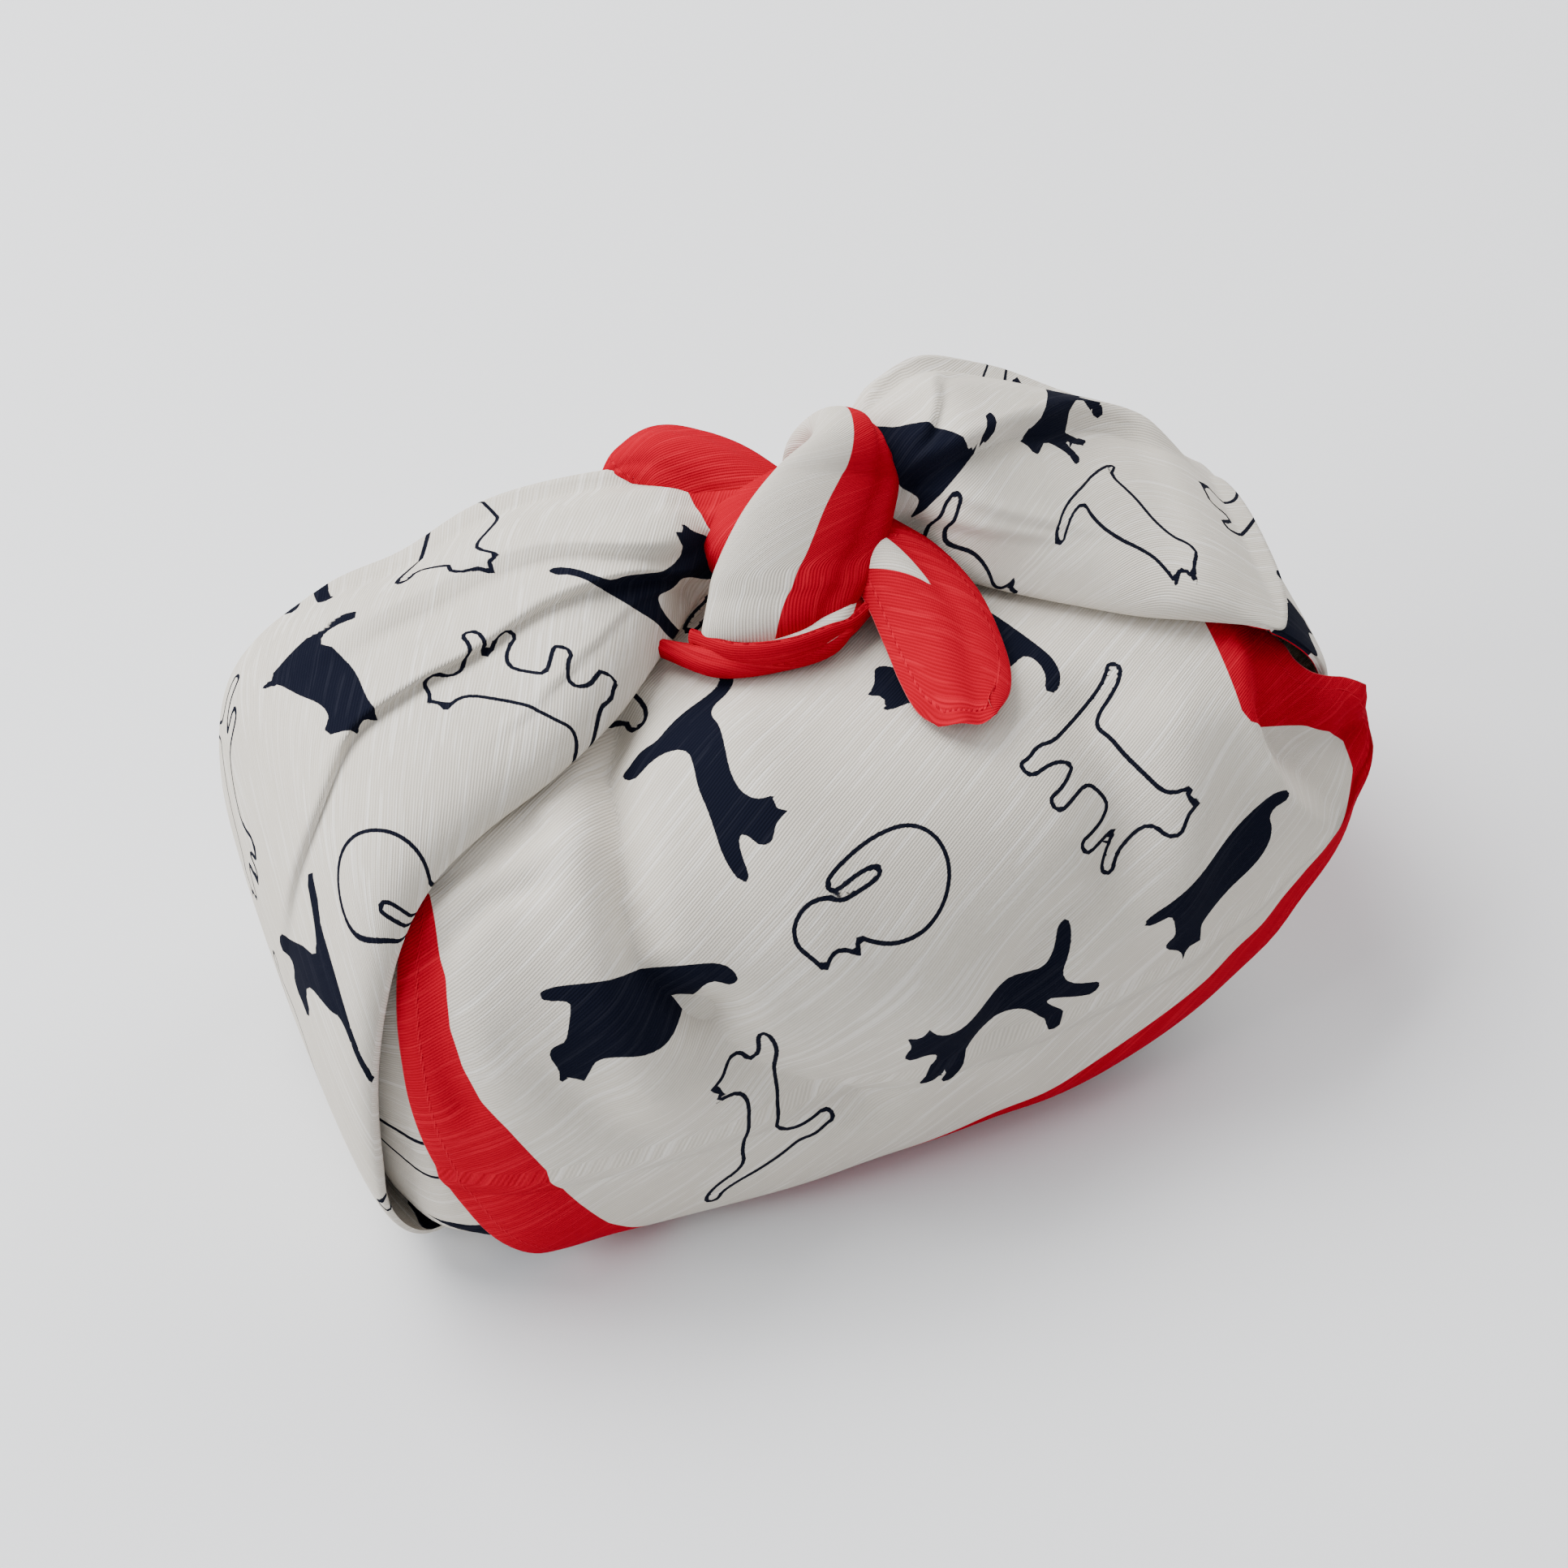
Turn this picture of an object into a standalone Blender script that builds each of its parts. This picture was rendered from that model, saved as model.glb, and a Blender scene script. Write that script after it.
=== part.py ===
"""Furoshiki wrap: one square cloth folded and tied round a loaf-shaped load.

The load is left out, so the wrap is hollow. The cloth is built as the sheet that it is:
  - a strip that winds once and a half round the load: up inside the front, under the
    bottom, up the back, over the top, down the front, and in under the bottom again,
  - two side corners that rise over the ends as gathered arms,
  - the square knot that these two tie on top, and its two free ends.
X runs along the wrap, -Y is its front and Z is up. Tables are in millimetres.
"""

from collections import namedtuple

import bmesh
import bpy
import numpy as np

MM = 0.001

# Driving sizes, in millimetres
CLOTH_THICK = 1.5          # the sheet with its slubs
CLOSE_STEP = 4.4           # from the inner flap's middle to the outer's at the left edge
TOP_POWER = 2.6            # roundness of the load's upper half
BOTTOM_POWER = 6.0         # the lower half is squarer
WAIST = 0.40               # height share at which the two halves meet
ROLL_RADIUS = 2.5          # the rolled edges of the arms
ROLL_RUN = 7.0             # how far the cloth turns in behind a rolled edge
REST_GAP = 2.3             # least height of an arm's middle over the strip's
MIDDLE_X = -40.0           # the section that the winding is measured on
CENTRE = (-3.9, -7.5)      # middle of the finished wrap's footprint

# Cross-sections of the load under the cloth, from the left end to the right
Section = namedtuple("Section", "x front back top bottom")
LOAF = [
    Section(-160, -20, 30, 98, 62),
    Section(-153, -52, 50, 112, 28),
    Section(-143, -70, 62, 120, 8),
    Section(-125, -84, 70, 126, 0),
    Section(-90, -90, 74, 129, 0),
    Section(-40, -91, 76, 131, 0),
    Section(20, -89, 77, 132, 0),
    Section(60, -84, 75, 131, 2),
    Section(95, -77, 73, 129, 12),
    Section(122, -68, 68, 124, 30),
    Section(142, -57, 60, 115, 52),
    Section(154, -38, 46, 105, 74),
    Section(158, -15, 30, 98, 84),
]

# The wound strip: "wind" is the way round from the middle of the bottom, first up the
# inside of the front (negative), then up the back, over and down the front
Edge = namedtuple("Edge", "wind left right inset")
STRIP = [
    Edge(-455, -24, 24, 9.0),
    Edge(-425, -56, 54, 9.0),
    Edge(-390, -92, 84, 9.0),
    Edge(-350, -118, 94, 9.0),
    Edge(-310, -132, 96, 9.0),
    Edge(-258, -138, 96, 9.0),
    Edge(-215, -140, 96, 9.0),
    Edge(-195, -143, 96, 9.0),
    Edge(-180, -147, 96, 9.0),
    Edge(-150, -149, 96, 9.0),
    Edge(-132, -149, 104, 9.0),
    Edge(-120, -149, 126, 9.0),
    Edge(-108, -149, 142, 7.0),
    Edge(-85, -148, 150, 4.5),
    Edge(-60, -142, 152, 2.6),
    Edge(-38, -137, 153, 2.6),
    Edge(-15, -134, 154, 0.0),
    Edge(60, -142, 154, 0.0),
    Edge(85, -148, 154, 0.0),
    Edge(118, -149, 153, 0.0),
    Edge(130, -149, 151, 0.0),
    Edge(142, -149, 148, 0.0),
    Edge(154, -149, 143, 0.0),
    Edge(166, -149, 136, 0.0),
    Edge(178, -149, 127, 0.0),
    Edge(190, -149, 118, 0.0),
    Edge(204, -149, 112, 0.0),
    Edge(258, -143, 113, 0.0),
    Edge(285, -134, 118, 0.0),
    Edge(292, -132, 123, 0.0),
    Edge(299, -130, 127, 0.0),
    Edge(306, -132, 129, 0.0),
    Edge(312, -134, 133, 0.0),
    Edge(318, -136, 139, 0.0),
    Edge(326, -138, 146, 0.0),
    Edge(338, -140, 151, 0.0),
    Edge(352, -141, 153, 0.0),
    Edge(368, -141, 154, 0.0),
    Edge(389, -138, 154, 0.0),
    Edge(408, -132, 146, 0.0),
    Edge(422, -125, 128, 0.0),
    Edge(435, -112, 98, 0.0),
    Edge(446, -96, 58, 0.0),
    Edge(458, -80, 8, 0.0),
    Edge(470, -64, -46, 0.0),
]
Run = namedtuple("Run", "start end cells")
STRIP_ROWS = [
    Run(-455, -390, 3), Run(-390, -205, 6), Run(-205, -150, 2), Run(-150, -100, 4), Run(-100, -60, 4),
    Run(-60, 60, 5), Run(60, 100, 3), Run(100, 142, 2), Run(142, 204, 6),
    Run(204, 285, 4), Run(285, 355, 10), Run(355, 425, 7), Run(425, 470, 5),
]
STRIP_COLUMNS = [Run(0.0, 0.08, 2), Run(0.08, 0.80, 10), Run(0.80, 1.0, 7)]

# Soft troughs (depth > 0) and swells (depth < 0) pressed into the outer layer
Crease = namedtuple("Crease", "path depth width")
PANEL_CREASES = [
    Crease([(-61, -7, 131), (-68, -21, 131), (-70, -37, 129), (-76, -62, 120),
            (-77, -75, 108), (-71, -82, 99), (-62, -86, 91)], 6.2, 7.0),
    Crease([(-62, -86, 91), (-54, -90, 76), (-36, -91, 55), (-19, -91, 44)],
           4.0, 10.0),
    Crease([(60, -46, 126), (61, -63, 116), (60, -73, 104), (54, -79, 94), (36, -84, 86),
            (24, -88, 72), (19, -89, 58)], 5.0, 11.0),
    Crease([(-88, -48, 125), (-90, -66, 116), (-88, -80, 101), (-80, -89, 76)], -4.5, 12.0),
    Crease([(-37, -32, 131), (-36, -57, 123), (-30, -76, 108), (-18, -86, 91), (-2, -89, 75)],
           -5.0, 17.0),
    Crease([(84, -55, 119), (82, -70, 101), (76, -79, 80)], -4.0, 12.0),
    Crease([(-128, -58, 112), (-130, -70, 97), (-127, -80, 78)], 2.4, 6.0),
]

# The scoop pushed into the right-hand front corner, right of a soft fold
Fold = namedtuple("Fold", "wind x depth")
SCOOP = [Fold(285, 116, 4), Fold(304, 113, 6), Fold(322, 111, 14), Fold(347, 115, 17),
         Fold(370, 124, 12), Fold(389, 131, 4), Fold(400, 136, 0)]
SCOOP_WALL = 8.0           # the fold's width
SCOOP_FADE = 16.0          # how softly it comes out again

# Arms, from inside the knot, over the shoulder and down the end: front edge, crest
# and back edge of each section
Rib = namedtuple("Rib", "front crest back")
LEFT_ARM = [
    Rib((-4, 12, 146), (-8, 26, 163), (-4, 42, 146)),
    Rib((-25, 22, 138), (-24, 37, 159), (-22, 55, 138)),
    Rib((-41, 8, 136), (-48, 38, 160), (-46, 66, 132)),
    Rib((-62, -12, 135), (-73, 40, 154), (-74, 76, 122)),
    Rib((-84, -26, 134), (-96, 43, 142), (-100, 78, 110)),
    Rib((-106, -36, 132), (-119, 44, 138), (-124, 77, 102)),
    Rib((-125, -46, 127), (-140, 43, 131), (-143, 73, 90)),
    Rib((-139, -58, 115), (-154, 38, 117), (-153, 68, 78)),
    Rib((-149, -68, 88), (-161, 16, 94), (-157, 62, 62)),
    Rib((-152, -70, 52), (-161, 0, 58), (-155, 60, 40)),
    Rib((-150, -68, 24), (-156, 0, 27), (-150, 56, 19)),
    Rib((-140, -65, 7), (-143, 0, 7.5), (-139, 50, 7)),
    Rib((-121, -60, 6), (-121, 0, 6.5), (-121, 44, 6)),
]
RIGHT_ARM = [
    Rib((8, 12, 146), (10, 26, 166), (8, 42, 146)),
    Rib((30, 19, 138), (32, 37, 168), (26, 58, 138)),
    Rib((43, 5, 137), (50, 40, 172), (46, 70, 132)),
    Rib((55, -5, 137), (71, 41, 161), (68, 78, 124)),
    Rib((70, -15, 136), (91, 40, 149), (88, 78, 120)),
    Rib((86, -24, 135), (109, 34, 140), (106, 74, 117)),
    Rib((101, -29, 133), (120, 23, 135), (122, 63, 114)),
    Rib((116, -32, 128), (133, 8, 121), (136, 50, 108)),
    Rib((128, -34, 120), (144, -6, 104), (145, 42, 100)),
    Rib((138, -34, 106), (149, -8, 90), (149, 40, 88)),
    Rib((141, -36, 87), (145, -2, 74), (144, 38, 74)),
    Rib((133, -34, 60), (134, 0, 54), (133, 34, 55)),
    Rib((116, -30, 28.2), (116, 0, 28.2), (116, 30, 28.2)),
]
ARM_POWER = 2.3
ARM_ROWS = 23
# Shares of the way across an arm; each pleat draws its own share's column to its line
LEFT_ACROSS = [0, 0.10, 0.19, 0.26, 0.30, 0.325, 0.37, 0.41, 0.45, 0.475, 0.52, 0.59, 0.66,
               0.685, 0.76, 0.88, 1]
RIGHT_ACROSS = [0, 0.08, 0.15, 0.175, 0.25, 0.34, 0.41, 0.45, 0.475, 0.53, 0.61, 0.68, 0.73,
                0.755, 0.81, 0.90, 1]
# A pleat's line as places (along, across) the arm; the cloth in front of it lies on top
Pleat = namedtuple("Pleat", "share start end depth width line")
LEFT_PLEATS = [
    Pleat(0.30, 0.07, 0.76, 5.0, 18.0,
          [(0, 0.05), (0.10, 0.09), (0.165, 0.23), (0.215, 0.305), (0.265, 0.345),
           (0.315, 0.356), (0.37, 0.35), (0.475, 0.33), (0.585, 0.306), (0.65, 0.35),
           (0.75, 0.425), (0.85, 0.42), (1, 0.40)]),
    Pleat(0.45, 0.07, 0.52, 4.0, 16.0,
          [(0, 0.15), (0.11, 0.213), (0.17, 0.319), (0.23, 0.431), (0.27, 0.456),
           (0.31, 0.469), (0.36, 0.465), (0.475, 0.45), (0.6, 0.50), (1, 0.55)]),
    Pleat(0.66, 0.06, 0.50, 4.0, 14.0, [(0, 0.58), (0.08, 0.62), (0.45, 0.66), (1, 0.70)]),
]
RIGHT_PLEATS = [
    Pleat(0.15, 0.05, 0.34, 2.0, 8.0, [(0, 0.06), (0.2, 0.10), (0.34, 0.16), (0.55, 0.26), (1, 0.30)]),
    Pleat(0.45, 0.06, 0.56, 6.5, 16.0,
          [(0, 0.15), (0.09, 0.225), (0.16, 0.288), (0.20, 0.338), (0.24, 0.406),
           (0.315, 0.481), (0.40, 0.556), (0.455, 0.575), (0.52, 0.62), (1, 0.64)]),
    Pleat(0.73, 0.06, 0.42, 4.5, 14.0, [(0, 0.60), (0.2, 0.68), (0.4, 0.75), (1, 0.8)]),
]
PLEAT_EDGE = 4.0           # how wide the step down from a pleat's edge is
PLEAT_DIP = 0.3            # how far the cloth dips ahead of it, as a share of its depth

# The knot: strands given by the two edges of their flat, with the strand's thickness
Strand = namedtuple("Strand", "one other thick")
KNOT_LOOP = [
    Strand((-31, 7, 133), (3, 2, 129), 8),
    Strand((-34, 1, 143), (6, -2, 138), 13),
    Strand((-30, 7, 150), (16, 4, 144), 15),
    Strand((-26, 12, 156), (23, 11, 148), 16),
    Strand((-15, 21, 165), (28, 17, 154), 15),
    Strand((-3, 28, 171), (32, 24, 160), 14),
    Strand((9, 33, 175), (30, 31, 168), 13),
    Strand((12, 43, 170), (30, 42, 162), 13),
    Strand((8, 50, 156), (26, 49, 150), 13),
    Strand((5, 46, 140), (20, 46, 138), 10),
]
KNOT_UNDER = [
    Strand((-46, 6, 136), (-46, 12, 137), 5),
    Strand((-33, -8, 136), (-33, 2, 139), 8),
    Strand((-15, -12, 136), (-15, 0, 141), 9),
    Strand((1, -11, 137), (1, 1, 142), 9),
    Strand((13, 0, 139), (11, 10, 144), 7),
]
KNOT_HEM = [
    Strand((-36, 3, 139), (-36, 4, 144), 3.6),
    Strand((-27, -7, 139), (-27, -6, 144), 4.0),
    Strand((-14, -11, 139), (-14, -10, 144), 4.2),
    Strand((-1, -9, 138), (-1, -8, 143), 4.2),
    Strand((8, -4, 136), (9, -4, 141), 4.0),
    Strand((20, 4, 142), (23, 4, 146), 3.8),
    Strand((25, 11, 149), (27, 12, 152), 3.4),
]
KNOT_CORE = ((0, 25, 149), (25, 20, 17))

# The right free end hangs forward: left edge, ridge and right edge of each section
RIGHT_END = [
    Rib((8, 10, 148), (18, 16, 155), (27, 20, 152)),
    Rib((12, 0, 144), (24, 6, 152), (38, 11, 145)),
    Rib((13, -14, 139), (28, -5, 148), (44, -5, 140)),
    Rib((13, -26, 136), (30, -18, 144), (44, -25, 135.5)),
    Rib((14, -36, 134), (28, -31, 140), (40, -38, 134.5)),
    Rib((18, -43, 133), (26, -44, 135), (32, -45, 134)),
]
# The left free end is a curled trough: centre, radius, and the arc that its cloth fills
Curl = namedtuple("Curl", "centre radius start end")
LEFT_END = [
    Curl((-4, 36, 152), 11, -60, 250),
    Curl((-12, 44, 155), 12, -60, 245),
    Curl((-20, 50, 157), 12, -55, 235),
    Curl((-28, 55, 158), 11, -45, 220),
    Curl((-36, 57, 157), 7, -20, 190),
    Curl((-42, 57, 155), 3, 20, 150),
]

COLOUR = (0.86, 0.83, 0.77, 1.0)
ROUGHNESS = 0.85


def spline(knots, values, at):
    """Smooth curve through values at uneven knots, one row for each place in at."""
    knots, values = np.array(knots, float), np.array(values, float)
    if values.ndim == 1:
        values = values[:, None]
    at = np.clip(np.atleast_1d(np.asarray(at, float)), knots[0], knots[-1])
    step = np.diff(knots)[:, None]
    slope = np.diff(values, axis=0) / step
    tangent = np.empty_like(values)
    tangent[0], tangent[-1] = slope[0], slope[-1]
    tangent[1:-1] = (slope[:-1] * step[1:] + slope[1:] * step[:-1]) / (step[1:] + step[:-1])
    i = np.clip(np.searchsorted(knots, at) - 1, 0, len(knots) - 2)
    h = step[i]
    t = (at[:, None] - knots[i][:, None]) / h
    return ((2 * t**3 - 3 * t**2 + 1) * values[i] + (t**3 - 2 * t**2 + t) * h * tangent[i]
            + (3 * t**2 - 2 * t**3) * values[i + 1] + (t**3 - t**2) * h * tangent[i + 1])


def loaf_point(x, angle, inset=0.0):
    """Point and inward normal on the load's skin at x; angle 180 is front, 90 is top."""
    x, angle = np.broadcast_arrays(np.asarray(x, float), np.asarray(angle, float))
    shape = x.shape
    table = spline([s.x for s in LOAF], [s[1:] for s in LOAF], x.ravel())
    front, back, top, bottom = (column.reshape(shape) for column in table.T)
    bottom = np.maximum(bottom, 0)
    room = np.minimum(back - front, top - bottom)
    inset = np.minimum(inset, 0.25 * room)
    front, back, top = front + inset, back - inset, top - inset
    bottom = bottom + inset
    c, s = np.cos(angle), np.sin(angle)
    power = np.where(s > 0, TOP_POWER, BOTTOM_POWER)
    mid_y, half_y = (front + back) / 2, (back - front) / 2
    mid_z = bottom + (top - bottom) * WAIST
    half_z = np.where(s > 0, top - mid_z, mid_z - bottom)
    y = mid_y + half_y * np.sign(c) * np.abs(c) ** (2 / power)
    z = mid_z + half_z * np.sign(s) * np.abs(s) ** (2 / power)
    z = np.where(s < 0, np.maximum(z - 0.5, bottom), z)
    ny = np.sign(c) * np.abs(c) ** (2 - 2 / power) / half_y
    nz = np.sign(s) * np.abs(s) ** (2 - 2 / power) / half_z
    length = np.hypot(ny, nz)
    normal = np.stack([0 * y, -ny / length, -nz / length], -1)
    return np.stack([x, y, z + CLOTH_THICK / 2], -1), normal


def rest_on_loaf(points, gap):
    """Points moved out from the load's middle where they lie closer to its skin than gap."""
    x, y, z = points.reshape(-1, 3).T
    front, back, top, bottom = spline([s.x for s in LOAF], [s[1:] for s in LOAF], x).T
    mid_y, half_y = (front + back) / 2, (back - front) / 2 + gap
    mid_z = bottom + (top - bottom) * WAIST + CLOTH_THICK / 2
    upper = z > mid_z
    half_z = np.where(upper, (top - bottom) * (1 - WAIST), (top - bottom) * WAIST) + gap
    power = np.where(upper, TOP_POWER, BOTTOM_POWER)
    inside = np.abs((y - mid_y) / half_y) ** power + np.abs((z - mid_z) / half_z) ** power
    grow = np.where((inside < 1) & (np.abs(x) < 158), np.maximum(inside, 0.2) ** (-1 / power), 1)
    moved = np.stack([x, mid_y + (y - mid_y) * grow, mid_z + (z - mid_z) * grow], -1)
    return moved.reshape(points.shape)


def winding_angles():
    """Angle round the load against the way round it, from the middle of the bottom."""
    angle = np.radians(np.linspace(270, -90, 1441))
    ring = loaf_point(np.full_like(angle, MIDDLE_X), angle)[0]
    way = np.concatenate([[0.0], np.cumsum(np.linalg.norm(np.diff(ring, axis=0), axis=1))])
    return way, angle


def run_values(runs):
    """Places along a list of runs, without repeating their shared ends."""
    values = [np.linspace(r.start, r.end, r.cells + 1)[1:] for r in runs]
    return np.concatenate([[runs[0].start]] + values)


def path_distance(points, path):
    """Distance from each point to a path of straight pieces."""
    path = np.array(path, float)
    best = np.full(points.shape[:-1], 1e9)
    for a, b in zip(path[:-1], path[1:]):
        ab = b - a
        t = np.clip(((points - a) @ ab) / (ab @ ab), 0, 1)
        best = np.minimum(best, np.linalg.norm(points - (a + t[..., None] * ab), axis=-1))
    return best


def soft_step(t):
    """Smooth rise from 0 to 1."""
    t = np.clip(t, 0, 1)
    return t * t * (3 - 2 * t)


def strip_points(winds, shares):
    """Middle surface of the wound strip, a row for each wind and a column for each share."""
    way, angle = winding_angles()
    edges = spline([e.wind for e in STRIP], [e[1:] for e in STRIP], winds)
    left, right, inset = edges.T
    inset = np.maximum(inset, 0)
    x = left[:, None] + (right - left)[:, None] * shares[None, :]
    turn = np.interp(np.mod(-winds, way[-1]), way, angle)[:, None] + 0 * x
    # the inner flap lies close behind the outer one at the left edge, where it shows
    close = soft_step((-126 - x) / 14)
    inset = inset[:, None] + (np.minimum(inset[:, None], CLOSE_STEP) - inset[:, None]) * close
    points, inward = loaf_point(x, turn, inset)
    outer = (winds > 210)[:, None]
    press = np.zeros_like(x)
    for crease in PANEL_CREASES:
        press += crease.depth * np.exp(-(path_distance(points, crease.path) / crease.width) ** 2)
    fold_x, depth = spline([f.wind for f in SCOOP], [f[1:] for f in SCOOP], winds).T
    depth = depth * (winds > 240)
    past = x - fold_x[:, None]
    press += (depth[:, None] * soft_step(past / SCOOP_WALL + 0.5)
              * np.exp(-np.maximum(past - 10, 0) ** 2 / (2 * SCOOP_FADE ** 2)))
    return points + inward * (press * outer)[..., None]


def pleat_line(pleat, along):
    """Where a pleat lies across the arm at places along it."""
    places, across = zip(*pleat.line)
    return spline(places, across, along)[:, 0]


def across_rows(pleats, along, shares):
    """Places across the arm, a row for each place along it, drawn to the pleats' lines."""
    marks = [0.0] + [p.share for p in pleats] + [1.0]
    lines = np.stack([0 * along] + [pleat_line(p, along) for p in pleats] + [1 + 0 * along], 1)
    return np.stack([np.interp(shares, marks, line) for line in lines])


def pleat_press(pleats, along, across, width):
    """How far the arm's cloth lies in from its round shape, less where pleats stand up."""
    press = np.zeros_like(across)
    for p in pleats:
        fade = soft_step((along - p.start) / 0.05) * soft_step((p.end - along) / 0.14)
        gap = (across - pleat_line(p, along)[:, None]) * width * 1.2
        step = soft_step(gap / PLEAT_EDGE)
        ahead = (1 - step) * np.exp(np.minimum(gap, 0) / p.width)
        behind = step * np.exp(-np.maximum(gap, 0) / p.width)
        press += p.depth * fade[:, None] * (PLEAT_DIP * ahead - behind)
    return press


def arm_points(ribs, pleats, along, shares, rests_until):
    """Middle surface of an arm with its rolled edges, a row for each place along it."""
    across = across_rows(pleats, along, shares)
    table = np.array([rib.front + rib.crest + rib.back for rib in ribs], float)
    q = spline(np.linspace(0, 1, len(ribs)), table, along)
    front, crest, back = q[:, :3], q[:, 3:6], q[:, 6:]
    resting = along < rests_until
    for edge in (front, back):
        edge[resting] = rest_on_loaf(edge[resting], REST_GAP + ROLL_RADIUS + 0.3)
    span = back - front
    share = np.clip(((crest - front) * span).sum(1) / (span * span).sum(1), 0.2, 0.8)
    foot = front + span * share[:, None]
    c, s = np.cos(np.pi * across), np.sin(np.pi * across)
    c, s = np.abs(c) ** (2 / ARM_POWER) * np.sign(c), np.abs(s) ** (2 / ARM_POWER)
    side = np.where(c[..., None] > 0, (front - foot)[:, None], (back - foot)[:, None])
    arch = side * np.abs(c)[..., None] + (crest - foot)[:, None] * s[..., None]
    press = pleat_press(pleats, along, across, np.linalg.norm(span, axis=1)[:, None])
    press *= soft_step(across / 0.05) * soft_step((1 - across) / 0.05)
    length = np.linalg.norm(arch, axis=-1)
    body = foot[:, None] + arch
    rolled = soft_step((rests_until - 0.04 - along) / 0.08)
    rolls = []
    for edge in (front, back):
        inward = foot - edge
        inward /= np.linalg.norm(inward, axis=1)[:, None]
        down = np.cross(np.gradient(edge, axis=0), inward)
        heart = np.stack([0.5 * edge[:, 0], 0 * edge[:, 1], 0 * edge[:, 2] + 60], 1) - edge
        down *= (np.sign((down * heart).sum(1)) / np.linalg.norm(down, axis=1))[:, None]
        inward *= rolled[:, None]
        down *= 0.4 + 0.6 * rolled[:, None]
        turn = [edge + ROLL_RADIUS * ((1 - np.cos(a)) * inward + np.sin(a) * down)
                for a in (np.pi / 4, np.pi / 2)]
        turn.append(turn[-1] + inward * ROLL_RUN + down)
        rolls.append(turn)
    before = np.stack(rolls[0][::-1], 1)
    after = np.stack(rolls[1], 1)
    points = np.concatenate([before, body, after], 1)
    points[resting] = rest_on_loaf(points[resting], REST_GAP)
    points[:, 3:-3] -= arch * (press / length)[..., None]
    points[resting] = rest_on_loaf(points[resting], REST_GAP)
    return points


def sheet(name, points, thick):
    """A sheet of the given thickness on a grid of middle-surface points, as an object."""
    rows, columns = points.shape[:2]
    bm = bmesh.new()
    bmesh.ops.create_grid(bm, x_segments=columns - 1, y_segments=rows - 1, size=0.5)
    for vert in bm.verts:
        column = round((vert.co.x + 0.5) * (columns - 1))
        row = round((vert.co.y + 0.5) * (rows - 1))
        vert.co = points[row, column] * MM
    mesh = bpy.data.meshes.new(name)
    bm.to_mesh(mesh)
    bm.free()
    obj = bpy.data.objects.new(name, mesh)
    solidify = obj.modifiers.new("thickness", "SOLIDIFY")
    solidify.thickness = thick * MM
    solidify.offset = 0.0
    solidify.use_quality_normals = True
    return obj


def strand(name, rows, steps, sides):
    """A closed strand of oval section through rows that give its two edges."""
    table = np.array([tuple(r.one) + tuple(r.other) + (r.thick,) for r in rows], float)
    q = spline(np.linspace(0, 1, len(rows)), table, np.linspace(0, 1, steps))
    centre, half = (q[:, :3] + q[:, 3:6]) / 2, (q[:, 3:6] - q[:, :3]) / 2
    along = np.gradient(centre, axis=0)
    normal = np.cross(along, half)
    normal *= (q[:, 6] / 2 / np.linalg.norm(normal, axis=1))[:, None]
    angle = np.linspace(0, 2 * np.pi, sides, endpoint=False)
    ring = (centre[:, None] + half[:, None] * np.cos(angle)[None, :, None]
            + normal[:, None] * np.sin(angle)[None, :, None])
    bm = bmesh.new()
    bmesh.ops.create_grid(bm, x_segments=sides, y_segments=steps - 1, size=0.5)
    for vert in bm.verts:
        side = round((vert.co.x + 0.5) * sides) % sides
        vert.co = ring[round((vert.co.y + 0.5) * (steps - 1)), side] * MM
    bmesh.ops.remove_doubles(bm, verts=bm.verts, dist=0.00001)
    bmesh.ops.holes_fill(bm, edges=bm.edges)
    bmesh.ops.recalc_face_normals(bm, faces=bm.faces)
    mesh = bpy.data.meshes.new(name)
    bm.to_mesh(mesh)
    bm.free()
    return bpy.data.objects.new(name, mesh)


def rib_surface(ribs, along, across):
    """Surface through the three points of each rib, rounded over the middle one."""
    table = np.array([rib.front + rib.crest + rib.back for rib in ribs], float)
    q = spline(np.linspace(0, 1, len(ribs)), table, along)
    t = across[None, :, None]
    return (q[:, None, :3] * (1 - t) * (1 - 2 * t) + q[:, None, 3:6] * 4 * t * (1 - t)
            + q[:, None, 6:] * t * (2 * t - 1))


def curl_surface(curls, along, across):
    """Trough whose arc is measured from the far side, over the top, to the near side."""
    table = np.array([c.centre + (c.radius, c.start, c.end) for c in curls], float)
    q = spline(np.linspace(0, 1, len(curls)), table, along)
    axis = np.gradient(q[:, :3], axis=0)
    axis /= np.linalg.norm(axis, axis=1)[:, None]
    side = np.cross(axis, (0, 0, 1.0))
    side /= np.linalg.norm(side, axis=1)[:, None]
    up = np.cross(side, axis)
    angle = np.radians(q[:, 4:5] + (q[:, 5:6] - q[:, 4:5]) * across[None, :])
    radius = q[:, 3][:, None, None]
    return q[:, None, :3] + radius * (side[:, None] * np.cos(angle)[..., None]
                                      + up[:, None] * np.sin(angle)[..., None])


def ball(name, centre, radii):
    """The knot's heart, where the strands press together."""
    bm = bmesh.new()
    bmesh.ops.create_uvsphere(bm, u_segments=12, v_segments=8, radius=1.0)
    for vert in bm.verts:
        vert.co = [(c + r * v) * MM for c, r, v in zip(centre, radii, vert.co)]
    mesh = bpy.data.meshes.new(name)
    bm.to_mesh(mesh)
    bm.free()
    return bpy.data.objects.new(name, mesh)


def evaluated(obj):
    """The object's mesh with its modifiers applied."""
    graph = bpy.context.evaluated_depsgraph_get()
    return bpy.data.meshes.new_from_object(obj.evaluated_get(graph))


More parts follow.
